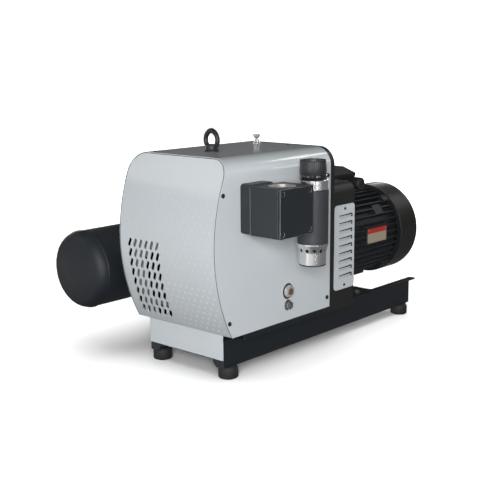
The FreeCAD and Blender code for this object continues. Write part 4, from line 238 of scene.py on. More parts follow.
def surface_group():
    group = bpy.data.node_groups.new("coated_surface", "ShaderNodeTree")
    face = group.interface
    face.new_socket("Color", in_out="INPUT", socket_type="NodeSocketColor")
    face.new_socket("Edge color", in_out="INPUT", socket_type="NodeSocketColor")
    for name, value in (("Tone", 0.1), ("Roughness", 0.4), ("Unevenness", 0.08),
                        ("Grain size", 400.0), ("Grain depth", 0.1), ("Edge radius", 0.001),
                        ("Edge wear and highlight", 0.0), ("Dust", 0.1)):
        socket = face.new_socket(name, in_out="INPUT", socket_type="NodeSocketFloat")
        socket.default_value = value
    face.new_socket("Color", in_out="OUTPUT", socket_type="NodeSocketColor")
    face.new_socket("Roughness", in_out="OUTPUT", socket_type="NodeSocketFloat")
    face.new_socket("Normal", in_out="OUTPUT", socket_type="NodeSocketVector")
    inlet, outlet = group.nodes.new("NodeGroupInput"), group.nodes.new("NodeGroupOutput")
    given = inlet.outputs
    place = new_node(group, "TexCoord").outputs["Object"]
    # Broad tone: colour times a value that drifts around one
    broad = new_node(group, "TexNoise", {"Vector": place, "Scale": 6.0, "Detail": 4.0})
    low = new_node(group, "Math", {0: 1.0, 1: given["Tone"]}, operation="SUBTRACT")
    high = new_node(group, "Math", {0: 1.0, 1: given["Tone"]}, operation="ADD")
    drift = new_node(group, "MapRange", {"Value": broad.outputs["Fac"], "From Min": 0.3,
                                         "From Max": 0.7, "To Min": low.outputs[0],
                                         "To Max": high.outputs[0]})
    shade = new_node(group, "VectorMath", {0: given["Color"], "Scale": drift.outputs["Result"]},
                     operation="SCALE")
    # Dust settles where faces look up
    facing = new_node(group, "NewGeometry").outputs["Normal"]
    upright = new_node(group, "SeparateXYZ", {0: facing})
    settle = new_node(group, "MapRange", {"Value": upright.outputs["Z"], "From Min": 0.4,
                                          "From Max": 1.0})
    specks = new_node(group, "TexNoise", {"Vector": place, "Scale": 60.0, "Detail": 6.0})
    layer = new_node(group, "Math", {0: settle.outputs["Result"], 1: specks.outputs["Fac"]},
                     operation="MULTIPLY")
    amount = new_node(group, "Math", {0: layer.outputs[0], 1: given["Dust"]},
                      operation="MULTIPLY")
    dusty = new_node(group, "Mix", {"Factor": amount.outputs[0], "A": shade.outputs[0],
                                    "B": DUST_GREY}, data_type="RGBA")
    # Roughness drifts on a middle scale
    middle = new_node(group, "TexNoise", {"Vector": place, "Scale": 25.0, "Detail": 5.0})
    offset = new_node(group, "Math", {0: middle.outputs["Fac"], 1: 0.5}, operation="SUBTRACT")
    uneven = new_node(group, "Math", {0: offset.outputs[0], 1: given["Unevenness"],
                                      2: given["Roughness"]}, operation="MULTIPLY_ADD")
    join(group, uneven.outputs[0], outlet.inputs["Roughness"])
    # Fine grain over softly rounded edges
    grain = new_node(group, "TexNoise", {"Vector": place, "Scale": given["Grain size"],
                                         "Detail": 3.0})
    rounding = new_node(group, "Bevel", {"Radius": given["Edge radius"]}, samples=4)
    relief = new_node(group, "Bump", {"Distance": GRAIN_HEIGHT, "Strength": given["Grain depth"],
                                      "Height": grain.outputs["Fac"],
                                      "Normal": rounding.outputs["Normal"]})
    join(group, relief.outputs["Normal"], outlet.inputs["Normal"])
    # Edges are painted paler where the rounded normal leaves the face's own: partly rubbed paint,
    # partly a painted highlight along the rounded edges
    along = new_node(group, "VectorMath", {0: rounding.outputs["Normal"], 1: facing},
                     operation="DOT_PRODUCT")
    wear_and_highlight_rim = new_node(group, "MapRange", {"Value": along.outputs["Value"], "From Min": 0.995,
                                       "From Max": 0.85})
    wear_and_highlight = new_node(group, "Math", {0: wear_and_highlight_rim.outputs["Result"], 1: given["Edge wear and highlight"]},
                      operation="MULTIPLY")
    edged = new_node(group, "Mix", {"Factor": wear_and_highlight.outputs[0], "A": dusty.outputs["Result"],
                                    "B": given["Edge color"]}, data_type="RGBA")
    join(group, edged.outputs["Result"], outlet.inputs["Color"])
    return group


COATED = surface_group()


# light sets how much the rounded edges are painted paler towards edge_color: rubbed paint and a
# painted highlight
def coated(name, color, roughness, metallic=0.0, coat=0.0, coat_roughness=0.1, tone=0.06,
           unevenness=0.1, grain=500.0, depth=0.08, edge=STEEL_BEND, light=0.0,
           edge_color=EDGE_WEAR_AND_HIGHLIGHT_GREY, dust=0.0, specular=0.5):
    material, skin = new_material(name)
    tree = material.node_tree
    layer = new_node(tree, "Group", node_tree=COATED)
    for label, value in (("Color", (*color, 1)), ("Edge color", (*edge_color, 1)), ("Tone", tone),
                         ("Roughness", roughness), ("Unevenness", unevenness),
                         ("Grain size", grain), ("Grain depth", depth), ("Edge radius", edge),
                         ("Edge wear and highlight", light), ("Dust", dust)):
        layer.inputs[label].default_value = value
    join(tree, layer.outputs["Color"], skin.inputs["Base Color"])
    join(tree, layer.outputs["Roughness"], skin.inputs["Roughness"])
    join(tree, layer.outputs["Normal"], skin.inputs["Normal"])
    skin.inputs["Metallic"].default_value = metallic
    skin.inputs["Specular IOR Level"].default_value = specular
    skin.inputs["Coat Weight"].default_value = coat
    skin.inputs["Coat Roughness"].default_value = coat_roughness
    return material


def finish_node(material, *names):
    for name in names:
        mesh = nodes[name].data
        if not mesh.materials:
            mesh.materials.append(material)
        for index in range(len(mesh.materials)):
            mesh.materials[index] = material


def piece(name, form, material, body="pump_unit", smooth_angle=35, replaces=()):
    thing = new_object(name, form, material, smooth_angle)
    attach(thing, body)
    if replaces:
        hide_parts(*replaces)
    return thing


def hexagon_head(form, centre, direction, across, height, crown=0.8):
    made = bmesh.ops.create_cone(form, cap_ends=True, segments=6, radius1=across / math.sqrt(3),
                                 radius2=across / math.sqrt(3), depth=height)
    corners = made["verts"]
    rim = []
    for edge in form.edges:
        if all(v in corners and v.co.z > 0 for v in edge.verts):
            rim.append(edge)
    bevelled = bmesh.ops.bevel(form, geom=rim, offset=crown, segments=1, profile=0.5,
                               affect="EDGES", material=-1)
    turn = Vector((0, 0, 1)).rotation_difference(Vector(direction)).to_matrix().to_4x4()
    shift = Matrix.Translation(Vector(centre) + Vector(direction) * height / 2)
    moved = list({v for v in corners if v.is_valid} | set(bevelled["verts"]))
    bmesh.ops.transform(form, matrix=shift @ turn, verts=moved)


def lathe(form, profile, centre, direction=(0, 0, 1), steps=40):
    points = [form.verts.new((radius, 0, height)) for radius, height in profile]
    edges = [form.edges.new(pair) for pair in zip(points, points[1:])]
    before = set(form.verts) - set(points)
    bmesh.ops.spin(form, geom=points + edges, cent=(0, 0, 0), axis=(0, 0, 1), angle=math.tau,
                   steps=steps, use_merge=True)
    fresh = [v for v in form.verts if v not in before]
    bmesh.ops.remove_doubles(form, verts=fresh, dist=MERGE_DISTANCE)
    fresh = [v for v in form.verts if v not in before]
    faces = list({f for v in fresh for f in v.link_faces})
    bmesh.ops.recalc_face_normals(form, faces=faces)
    turn = Vector((0, 0, 1)).rotation_difference(Vector(direction)).to_matrix().to_4x4()
    bmesh.ops.transform(form, matrix=Matrix.Translation(Vector(centre)) @ turn, verts=fresh)


black_paint = coated("black_paint", PAINT_BLACK, 0.42, coat=0.1, coat_roughness=0.25, dust=0.12,
                     light=0.35, specular=0.3)
finish_node(black_paint, "base_frame", "hood_rails", "silencer_bracket")
BOLT_X, BOLT_Y, DECK_TOP = 96, 195, 100
WASHER_RADIUS, WASHER_THICKNESS = 9.5, 1.6
BOLT_ACROSS, BOLT_HEAD_HEIGHT = 13, 5.3
deck_bolt = bmesh.new()
lathe(deck_bolt, [(0, 0), (WASHER_RADIUS, 0), (WASHER_RADIUS, WASHER_THICKNESS),
                  (0, WASHER_THICKNESS)], (BOLT_X, BOLT_Y, DECK_TOP), steps=32)
hexagon_head(deck_bolt, (BOLT_X, BOLT_Y, DECK_TOP + WASHER_THICKNESS), (0, 0, 1), BOLT_ACROSS,
             BOLT_HEAD_HEIGHT)
bolt_steel = coated("bolt_steel", (0.14, 0.14, 0.14), 0.4, metallic=0.9, tone=0.12, edge=0.4 * MM)
piece("deck_bolt", deck_bolt, bolt_steel)

# Four moulded rubber feet carry the base, each vulcanised to a threaded stud that goes up
# through the frame's lower flange and is held by a nut.
FOOT_PLACES = [(x, y) for x in (-118, 118) for y in (-386, 386)]
FOOT_PROFILE = [(0, 14), (4, 14), (4, 0), (21, 0), (23.5, 1.2), (25, 3.5), (25, 24), (24.2, 26.5),
                (22, 27.5), (22, 30), (5.2, 30), (5.2, 16), (0, 16)]
rubber = coated("rubber", (0.018, 0.019, 0.020), 0.62, tone=0.15, grain=900.0, depth=0.25, dust=0.2,
                specular=0.3)
feet = bmesh.new()
for x, y in FOOT_PLACES:
    lathe(feet, FOOT_PROFILE, (x, y, 0))
piece("moulded_feet", feet, rubber, replaces=("rubber_feet",))
finish_node(rubber, "coupling_spider", "shaft_seal")
zinc = coated("zinc", (0.55, 0.56, 0.57), 0.3, metallic=1.0, tone=0.1)
finish_node(zinc, "foot_studs")

# The pump inside is of grey cast iron: casing, end plates, gear case, with the bell housing
# behind it and the coupling's hubs. Shafts, rotors, gears and bearings are machined steel.
cast_iron = coated("cast_iron", (0.16, 0.16, 0.165), 0.6, metallic=0.4, tone=0.15, grain=300.0,
                   depth=0.4)
finish_node(cast_iron, "pump_casing", "front_end_plate", "rear_end_plate", "gear_case",
            "gear_case_cover", "bell_housing", "coupling_hub_pump", "coupling_hub_motor")
machined = coated("machined_steel", (0.50, 0.50, 0.51), 0.28, metallic=1.0)
finish_node(machined, "drive_shaft", "driven_shaft", "drive_rotor", "driven_rotor", "drive_gear",
            "driven_gear", "motor_rotor", "pump_bearings", "motor_bearings", "valve_poppet",
            "check_valve_disc", "stator", "cooling_fan")

# The hood is pressed steel with a glossy light grey enamel: the shell, the arched front panel hung
# in its mouth, with small dimples pressed into it and painted paler as painted highlights, the
# panel under it and the louvre plate. A grey guard stands behind the front panel's slots, and
# behind it a near-black foam sheet is painted shade for the hood's dark inside.
HOOD_GREY = (0.560, 0.598, 0.626)
# The dimples are the hood's enamel painted paler as painted highlights, the upper faint rows less
# so
DIMPLE_HIGHLIGHT_GREY = (0.66, 0.70, 0.73)
FAINT_HIGHLIGHT_GREY = (0.590, 0.628, 0.656)
ARC_CENTRE = Vector((0, -36.8, 331.5))
ARC_RADIUS = 440.0
SLOT_PITCH = 19.8
DIMPLE_PITCH = 16.0
DIMPLE_ROWS, CLEAR_ROWS, DIMPLE_COLUMNS = 22, 8, 15
DIMPLE_LEFT, DIMPLE_RIGHT = -129.5, 152
DIMPLE_FOOT = -27.3
DIMPLE_RADIUS, DIMPLE_CROWN, DIMPLE_ROOT = 3.2, 1.8, 0.6
RISE_FIRST, RISE_STEP, RISE_LEAST = 0.55, 0.025, 0.15
SLOTS_TOP, SLOTS_END, SLOTS_SLANT = 0.6, 3, 1.9
hood_paint = coated("hood_paint", HOOD_GREY, 0.24, coat=0.6, coat_roughness=0.05, tone=0.006,
                    unevenness=0.02, grain=60.0, depth=0.012, edge=1.0 * MM)
finish_node(hood_paint, "hood_shell", "hood_front_panel", "lower_front_panel", "louvre_plate")


def arc_place(x, degrees, depth=0.0):
    turn = math.radians(degrees)
    outward = Vector((0, -math.cos(turn), math.sin(turn)))
    return ARC_CENTRE + Vector((x, 0, 0)) + outward * (ARC_RADIUS - depth), outward


dimples = bmesh.new()
faint_dimples = bmesh.new()
row_turn = math.degrees(DIMPLE_PITCH / ARC_RADIUS)
for row in range(DIMPLE_ROWS):
    degrees = DIMPLE_FOOT + row * row_turn
    rise = max(RISE_FIRST - RISE_STEP * row, RISE_LEAST)
    rows = dimples if row < CLEAR_ROWS else faint_dimples
    for column in range(DIMPLE_COLUMNS):
        x = DIMPLE_LEFT + SLOT_PITCH * column + (SLOT_PITCH / 2 if row % 2 else 0)
        beside_slots = x > SLOTS_END - SLOTS_SLANT * (degrees - DIMPLE_FOOT)
        if x < DIMPLE_RIGHT and (degrees > SLOTS_TOP or beside_slots):
            spot, outward = arc_place(x, degrees)
            lathe(rows, [(0, rise), (DIMPLE_CROWN, rise * 0.7), (DIMPLE_RADIUS, 0),
                         (DIMPLE_RADIUS, -DIMPLE_ROOT), (0, -DIMPLE_ROOT)], spot, outward, steps=8)
# Both sets of dimples get a paler grey than the hood: painted highlights on the domes
for name, dimple_form, paint_name, grey in (
        ("panel_dimples", dimples, "dimple_highlight_paint", DIMPLE_HIGHLIGHT_GREY),
        ("faint_dimples", faint_dimples, "faint_dimple_highlight_paint", FAINT_HIGHLIGHT_GREY)):
    paint = coated(paint_name, grey, 0.24, coat=0.6, coat_roughness=0.05, tone=0.02, depth=0.0)
    piece(name, dimple_form, paint, smooth_angle=60)


def arc_sheet(form, x0, x1, start, end, depth, thickness):
    low, _ = arc_place(0, start, depth)
    ends = [form.verts.new((x, low.y, low.z)) for x in (x0, x1)]
    line = form.edges.new(ends)
    known = set(form.faces)
    bmesh.ops.spin(form, geom=ends + [line], cent=ARC_CENTRE, axis=(1, 0, 0),
                   angle=math.radians(start - end), steps=16)
    made = [f for f in form.faces if f not in known]
    bmesh.ops.solidify(form, geom=made, thickness=thickness)


# The guard is four strips: left and right edges in mm, lower and upper edges in degrees
GUARD_STRIPS = [(-130, -89, -28, 1.5), (-89, -69, -5.6, 1.5), (-69, -28, -2.4, 1.5),
                (-89, -28, -23.2, -20.4)]
GUARD_DEPTH, GUARD_SHEET = 11, 1.0
SHADE_FOAM_DEPTH, SHADE_FOAM_THICKNESS = 19, 4.0
guard = bmesh.new()
for strip in GUARD_STRIPS:
    arc_sheet(guard, *strip, GUARD_DEPTH, GUARD_SHEET)
bmesh.ops.recalc_face_normals(guard, faces=guard.faces)
# A near-black foam sheet behind the slots is painted shade for the hood's dark inside
slot_shade = bmesh.new()
arc_sheet(slot_shade, -158, -18, -28, 3, SHADE_FOAM_DEPTH, SHADE_FOAM_THICKNESS)
bmesh.ops.recalc_face_normals(slot_shade, faces=slot_shade.faces)
# This near-black foam is painted shade wherever it stands: behind the slots, in the louvre mouths
# and behind the intake's holes
painted_shade_foam = coated("painted_shade_foam", (0.004, 0.004, 0.004), 0.9, tone=0.2, grain=200.0, depth=0.9,
                     specular=0.1)
piece("slot_shade_foam", slot_shade, painted_shade_foam)
guard_paint = coated("guard_sheet", (0.20, 0.205, 0.20), 0.7, tone=0.2, grain=220.0, depth=0.8)
piece("inner_guard", guard, guard_paint)

# A thin black rubber bead closes the joint between the shell's front edge and the panel. It is
# extruded, pushed into the joint and follows the arch over both top corners.
BEAD_SIDE, BEAD_TOP, BEAD_CORNER = 164.2, 543.7, 45.7
BEAD_BOTTOM = 118.0
BEAD_RADIUS = 0.9
SIDE_STEPS, CORNER_STEPS = 24, 10


def tube(form, path, radius, sides=6):
    loops = []
    for index, spot in enumerate(path):
        before, after = path[max(index - 1, 0)], path[min(index + 1, len(path) - 1)]
        turn = Vector((0, 0, 1)).rotation_difference(after - before).to_matrix().to_4x4()
        at_end = before is spot or after is spot
        ring = bmesh.ops.create_circle(form, segments=sides, radius=radius, cap_ends=at_end,
                                       matrix=Matrix.Translation(spot) @ turn)
        loops.append(list({e for v in ring["verts"] for e in v.link_edges}))
    for first, second in zip(loops, loops[1:]):
        bmesh.ops.bridge_loops(form, edges=first + second)
    bmesh.ops.recalc_face_normals(form, faces=form.faces)


outline = []
for step in range(SIDE_STEPS + 1):
    climb = (BEAD_TOP - BEAD_CORNER - BEAD_BOTTOM) * step / SIDE_STEPS
    outline.append((BEAD_SIDE, BEAD_BOTTOM + climb))
for step in range(1, CORNER_STEPS + 1):
    turn = math.pi / 2 * step / CORNER_STEPS
    outline.append((BEAD_SIDE - BEAD_CORNER * (1 - math.cos(turn)),
                    BEAD_TOP - BEAD_CORNER * (1 - math.sin(turn))))
outline += [(-x, z) for x, z in reversed(outline)]
bead_path = []
for x, z in outline:
    depth = math.sqrt(ARC_RADIUS ** 2 - (z - ARC_CENTRE.z) ** 2)
    bead_path.append(Vector((x, ARC_CENTRE.y - depth, z)))
seam_bead = bmesh.new()
tube(seam_bead, bead_path, BEAD_RADIUS)
seam_rubber = coated("seam_rubber", (0.05, 0.05, 0.05), 0.6, tone=0.1)
piece("panel_seam_bead", seam_bead, seam_rubber, smooth_angle=60)

# The rear cover is a frame with the hood's outline and a lower box round the coupling, folded
# from sheet and painted a warm black.
cover_paint = coated("cover_paint", (0.015, 0.015, 0.015), 0.42, coat=0.1, dust=0.12, light=0.3,
                     specular=0.3)
finish_node(cover_paint, "rear_cover")

# Behind the louvre plate hangs a near-black sheet of painted shade, cut to the dark hooks of shadow
# and opening that show in the nine mouths and thicken towards their rear ends.
LOUVRE_FACE = 168.5
LOUVRE_TOPS = [194.1 + 20.6 * index for index in range(9)]
SHADE_SHEET_DEPTH, SHADE_SHEET_THICKNESS = 0.6, 0.9
MOUTH_START = -1
HOOK = [(3, -0.5), (40, 1.8), (54, 3.0), (60, 2.9), (62.3, 1), (62.8, -7.2), (58.6, -7.4),
        (56.6, -4.6), (53, -2.2), (44, -0.9), (3, -1.2)]
hooks = bmesh.new()
for top in LOUVRE_TOPS:
    corners = [hooks.verts.new((LOUVRE_FACE - SHADE_SHEET_DEPTH, MOUTH_START + y, top + z))
               for y, z in HOOK]
    hooks.faces.new(corners)
grown = bmesh.ops.extrude_face_region(hooks, geom=hooks.faces[:])
outer = [v for v in grown["geom"] if isinstance(v, bmesh.types.BMVert)]
bmesh.ops.translate(hooks, vec=(SHADE_SHEET_THICKNESS, 0, 0), verts=outer)
bmesh.ops.recalc_face_normals(hooks, faces=hooks.faces)
piece("louvre_painted_shade", hooks, painted_shade_foam, smooth_angle=None)

# Black socket screws hold the hood. The lifting eye is drop-forged and blackened, with a turned
# collar, and the waisted knob at the rear of the top is turned and chromed.
HOOD_TOP = 546
EYE_Y = -310
EYE_CENTRE = Vector((0, EYE_Y, 574.5))
EYE_TURN = math.radians(5)
EYE_RING_RADIUS, EYE_BAR_RADIUS = 22.3, 6.2
EYE_OUTER = 28.5
EYE_STRETCH, EYE_FLATTEN = 0.033, 0.05
COLLAR_PROFILE = [(0, 0.05), (18.4, 0.05), (19, 1), (19, 3), (17.6, 4.4), (15.4, 5.6), (15.4, 14),
                  (14.4, 16.4), (11, 17.6), (0, 17.6)]
dark_screw = coated("dark_screw", (0.030, 0.031, 0.033), 0.35, metallic=0.5, edge=0.5 * MM)
finish_node(dark_screw, "hood_screws")
forged_black = coated("forged_black", (0.020, 0.021, 0.021), 0.42, tone=0.2, grain=250.0,
                      depth=0.35, specular=0.45)
eye = bmesh.new()
bmesh.ops.create_circle(eye, segments=14, radius=EYE_BAR_RADIUS)
bmesh.ops.rotate(eye, cent=(0, 0, 0), matrix=Matrix.Rotation(math.pi / 2, 3, "X"), verts=eye.verts)
bmesh.ops.translate(eye, vec=(EYE_RING_RADIUS, 0, 0), verts=eye.verts)
bmesh.ops.rotate(eye, cent=(0, 0, 0), matrix=Matrix.Rotation(math.pi / 2, 3, "X"), verts=eye.verts)
bmesh.ops.spin(eye, geom=eye.verts[:] + eye.edges[:], cent=(0, 0, 0), axis=(0, 1, 0),
               angle=math.tau, steps=48, use_merge=True)
bmesh.ops.remove_doubles(eye, verts=eye.verts, dist=MERGE_DISTANCE)
bmesh.ops.recalc_face_normals(eye, faces=eye.faces)
# The forged ring isn't a true circle: its crest is raised and its shoulders are lowered
for vert in eye.verts:
    if vert.co.z > 0:
        crest, flank = vert.co.z / EYE_OUTER, abs(vert.co.x) / EYE_OUTER
        vert.co.z *= 1.0 + EYE_STRETCH * crest ** 3 - EYE_FLATTEN * flank
bmesh.ops.rotate(eye, cent=(0, 0, 0), matrix=Matrix.Rotation(-EYE_TURN, 3, "Z"), verts=eye.verts)
bmesh.ops.translate(eye, vec=EYE_CENTRE, verts=eye.verts)
lathe(eye, COLLAR_PROFILE, (0, EYE_Y, HOOD_TOP))
piece("forged_eye", eye, forged_black, smooth_angle=45, replaces=("lifting_eye",))
chrome = coated("chrome", (0.78, 0.79, 0.80), 0.18, metallic=1.0, depth=0.01, edge=0.4 * MM)
KNOB_X, KNOB_Y = -55, -78
KNOB_PROFILE = [(0, 0.05), (9.5, 0.05), (9.5, 2.2), (8.8, 3), (7.4, 3.7), (7, 5), (7, 11),
                (6.2, 13), (5.8, 15.4), (6.4, 17.4), (8, 18.8), (9.4, 19.8), (9.8, 20.8),
                (9.8, 23.2), (9, 24), (0, 24)]
knob = bmesh.new()
lathe(knob, KNOB_PROFILE, (KNOB_X, KNOB_Y, HOOD_TOP))
piece("chrome_knob", knob, chrome, smooth_angle=50, replaces=("top_knob",))

# The silencer is a rolled steel shell with two dished ends, welded and painted black, with a
# weld bead along its right side. The exhaust pipe joins it to the pump.
silencer_paint = coated("silencer_paint", (0.009, 0.012, 0.016), 0.52, tone=0.15, grain=300.0,
                        depth=0.15, dust=0.1, specular=0.4)
finish_node(silencer_paint, "silencer_shell", "exhaust_pipe")
SHELL_X, SHELL_RADIUS, SHELL_Z = -301.5, 101.8, 233
WELD_FRONT, WELD_LENGTH = -472, 360
WELD_RADIUS = 1.5
RIPPLES, RIPPLE_HEIGHT, RIPPLE_PITCH = 120, 0.3, 3.0
bead_profile = [(0, 0)]
for ripple in range(RIPPLES):
    bead_profile.append((WELD_RADIUS + RIPPLE_HEIGHT * (ripple % 2), 1 + RIPPLE_PITCH * ripple))
bead_profile.append((0, WELD_LENGTH))
bead = bmesh.new()
lathe(bead, bead_profile, (SHELL_X + SHELL_RADIUS, WELD_FRONT, SHELL_Z), (0, 1, 0), steps=8)
piece("shell_weld", bead, silencer_paint, smooth_angle=60)

# The inlet box is cast and painted black: an adapter on the hood's side, a square housing and
# a cover with four socket screws, its edges milled and also painted paler as a painted highlight. A
# gasket shows in the joint, painted pale grey as the joint's painted highlight, and a turned steel
# ring carries the pipe thread on its top.
cast_black = coated("cast_black", (0.022, 0.027, 0.031), 0.42, tone=0.12, grain=700.0, depth=0.25,
                    edge=1.4 * MM, dust=0.12, light=0.5, specular=0.4)
finish_node(cast_black, "inlet_adapter", "inlet_housing")
# The cover's rounded edges are painted pale grey, for milled metal and as a painted highlight
cover_black = coated("milled_black_edge_highlight", (0.016, 0.019, 0.023), 0.40, tone=0.10, grain=500.0,
                     depth=0.15, edge=2.0 * MM, light=0.9, edge_color=(0.42, 0.44, 0.46), dust=0.1,
                     specular=0.35)
finish_node(cover_black, "inlet_cover")
ring_steel = coated("ring_steel", (0.80, 0.78, 0.74), 0.34, metallic=1.0, tone=0.05, depth=0.02,
                    edge=0.6 * MM)
finish_node(ring_steel, "inlet_port_ring")
finish_node(dark_screw, "inlet_cover_screws")
JOINT_X, BOX_FRONT, BOX_MIDDLE = 197, -388, 424
BOX_DEPTH, BOX_HEIGHT = 84, 115
GASKET_THICKNESS, GASKET_PROUD, GASKET_CORNER = 1.2, 0.5, 3
gasket = bmesh.new()
bmesh.ops.create_cube(gasket, size=1)
bmesh.ops.scale(gasket, vec=(GASKET_THICKNESS, BOX_DEPTH + GASKET_PROUD, BOX_HEIGHT + 2 * GASKET_PROUD),
                verts=gasket.verts)
corner_edges = [e for e in gasket.edges if abs(e.verts[0].co.x - e.verts[1].co.x) > 1]
bmesh.ops.bevel(gasket, geom=corner_edges, offset=GASKET_CORNER, segments=4, profile=0.5,
                affect="EDGES", material=-1)
bmesh.ops.translate(gasket, vec=(JOINT_X, BOX_FRONT + BOX_DEPTH / 2 - GASKET_PROUD / 2, BOX_MIDDLE),
                    verts=gasket.verts)
# The gasket is painted pale grey as the highlight along the joint
gasket_highlight_grey = coated("gasket_highlight_grey", (0.16, 0.17, 0.17), 0.7, tone=0.1, grain=900.0, depth=0.3)
piece("housing_gasket", gasket, gasket_highlight_grey, smooth_angle=None)

# The relief valve: a black sleeve, a satin turned collar, a smoke-grey moulded cap ribbed inside,
# and the bright turned intake under the sleeve, with a near-black ring behind its ring of holes as
# painted shade for its dark inside. The cap turns with its gloss band, top disc, hub and set screw.
VALVE_X, VALVE_Y = 245.0, -212.0
INTAKE_FOOT = (VALVE_X, VALVE_Y, 274.5)
CAP_FOOT = (VALVE_X, VALVE_Y, 486.6)
CAP_RIBS = 40.0
RIB_DEPTH = 0.6 * MM
SMOKE_DARK, SMOKE_PALE = (0.006, 0.007, 0.010, 1), (0.030, 0.033, 0.039, 1)
sleeve_black = coated("sleeve_black", (0.034, 0.037, 0.043), 0.40, tone=0.05, grain=500.0,
                      depth=0.1, edge=1.0 * MM, light=0.3, specular=0.45)
finish_node(sleeve_black, "valve_sleeve")
turned = coated("turned_aluminium", (0.84, 0.84, 0.84), 0.26, metallic=1.0, tone=0.02,
                unevenness=0.04, depth=0.01, edge=0.6 * MM)
finish_node(turned, "valve_collar", "valve_intake")
# A near-black ring just inside the intake's wall is painted shade seen through its holes
intake_shade = bmesh.new()
lathe(intake_shade, [(27.4, 16), (27.4, 46), (26.4, 46), (26.4, 16), (27.4, 16)], INTAKE_FOOT)
piece("intake_shade_ring", intake_shade, painted_shade_foam)
intake_rim = bmesh.new()
lathe(intake_rim, [(32.1, 0), (32.9, 0), (33.3, 0.8), (33.3, 2.2), (32.9, 2.9), (32.1, 2.9),
                   (32.1, 0)], INTAKE_FOOT, steps=64)
piece("intake_rim", intake_rim, rubber)


def ribbed_smoke(name):
    material, skin = new_material(name)
    tree = material.node_tree
    place = new_node(tree, "TexCoord")
    centred = new_node(tree, "Mapping", {"Vector": place.outputs["Object"],
                                         "Location": (-VALVE_X * MM, -VALVE_Y * MM, 0)})
    around = new_node(tree, "TexGradient", {"Vector": centred.outputs["Vector"]},
                      gradient_type="RADIAL")
    count = new_node(tree, "Math", {0: around.outputs["Fac"], 1: CAP_RIBS * math.tau},
                     operation="MULTIPLY")
    wave = new_node(tree, "Math", {0: count.outputs[0]}, operation="SINE")
    tint = new_node(tree, "MapRange", {"Value": wave.outputs[0], "From Min": -1.0})
    blend = new_node(tree, "Mix", {"Factor": tint.outputs["Result"], "A": SMOKE_DARK,
                                   "B": SMOKE_PALE}, data_type="RGBA")
    relief = new_node(tree, "Bump", {"Strength": 0.35, "Distance": RIB_DEPTH,
                                     "Height": wave.outputs[0]})
    join(tree, blend.outputs["Result"], skin.inputs["Base Color"])
    join(tree, relief.outputs["Normal"], skin.inputs["Normal"])
    skin.inputs["Roughness"].default_value = 0.35
    skin.inputs["Coat Weight"].default_value = 0.15
    skin.inputs["Coat Roughness"].default_value = 0.12
    return material


cap_shell = bmesh.new()
lathe(cap_shell, [(29.9, 0), (32.8, 0), (33, 0.3), (33, 44.8), (32.4, 46.2), (31.2, 46.8),
                  (28.2, 46.8), (27.4, 46.2), (27, 44.2), (0, 44.2), (0, 43), (29.9, 43),
                  (29.9, 0)], CAP_FOOT, steps=72)
piece("smoke_cap", cap_shell, ribbed_smoke("smoke_plastic"), "adjusting_cap",
      replaces=("valve_cap",))
band_black = coated("band_black", (0.006, 0.006, 0.010), 0.12, coat=1.0, coat_roughness=0.03,
                    depth=0.0)
cap_band = bmesh.new()
lathe(cap_band, [(32.6, 0.2), (33.4, 0.5), (33.7, 1.2), (33.7, 10.8), (33.3, 11.8), (32.6, 12),
                 (32.6, 0.2)], CAP_FOOT, steps=72)
piece("cap_band", cap_band, band_black, "adjusting_cap")
cap_top = bmesh.new()
lathe(cap_top, [(0, 44.1), (26, 44.1), (26.4, 44.5), (26, 45), (9, 45), (8, 45.2), (0, 45.2)],
      CAP_FOOT, steps=48)
top_grey = coated("cap_disc", (0.16, 0.17, 0.18), 0.3, coat=0.3, tone=0.04, depth=0.04)
piece("cap_disc", cap_top, top_grey, "adjusting_cap")
cap_hub = bmesh.new()
lathe(cap_hub, [(0, 45.2), (6.2, 45.2), (6.2, 46.4), (5.4, 47), (3, 47), (2.6, 45.8), (0, 45.8)],
      CAP_FOOT, steps=32)
piece("cap_hub", cap_hub, turned, "adjusting_cap")
SET_SCREW_PLACE = (VALVE_X + 32.7, VALVE_Y - 3.4, 503)
SET_SCREW_WAY = (0.995, -0.105, 0)
set_screw = bmesh.new()
lathe(set_screw, [(0, 0), (3.4, 0), (3.4, 0.7), (2.9, 1), (1.7, 1), (1.5, 0.1), (0, 0.1)],
      SET_SCREW_PLACE, SET_SCREW_WAY, steps=16)
piece("cap_set_screw", set_screw, dark_screw, "adjusting_cap")

# Two springs wound of round drawn wire press the poppet and the check disc on their seats.
STEPS_PER_TURN = 24
ALONG_X, ALONG_Z = 0, 2


def wound_spring(name, node, along, wire, turns, fixed_end_is_high):
    low, high = (Vector(corner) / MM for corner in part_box(node))
    length = high[along] - low[along]
    mean_radius = (high.y - low.y - wire) / 2
    steps = turns * STEPS_PER_TURN
    form = bmesh.new()
    bmesh.ops.create_circle(form, segments=8, radius=wire / 2,
                            matrix=Matrix.Rotation(math.pi / 2, 4, "X"))
    bmesh.ops.translate(form, vec=(mean_radius, 0, wire / 2), verts=form.verts)
    bmesh.ops.spin(form, geom=form.verts[:] + form.edges[:], axis=(0, 0, 1),
                   dvec=(0, 0, (length - wire) / steps), angle=math.tau * turns, steps=steps)
    bmesh.ops.holes_fill(form, edges=[edge for edge in form.edges if edge.is_boundary], sides=8)
    if along == ALONG_X:
        bmesh.ops.rotate(form, cent=(0, 0, 0), matrix=Matrix.Rotation(math.pi / 2, 3, "Y"),
                         verts=form.verts)
    foot = (low + high) / 2
    foot[along] = low[along]
    bmesh.ops.translate(form, vec=foot, verts=form.verts)
    bmesh.ops.recalc_face_normals(form, faces=form.faces)
    spring = piece(name, form, machined, smooth_angle=60, replaces=(node,))
    foot[along] = high[along] if fixed_end_is_high else low[along]
    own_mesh(spring)


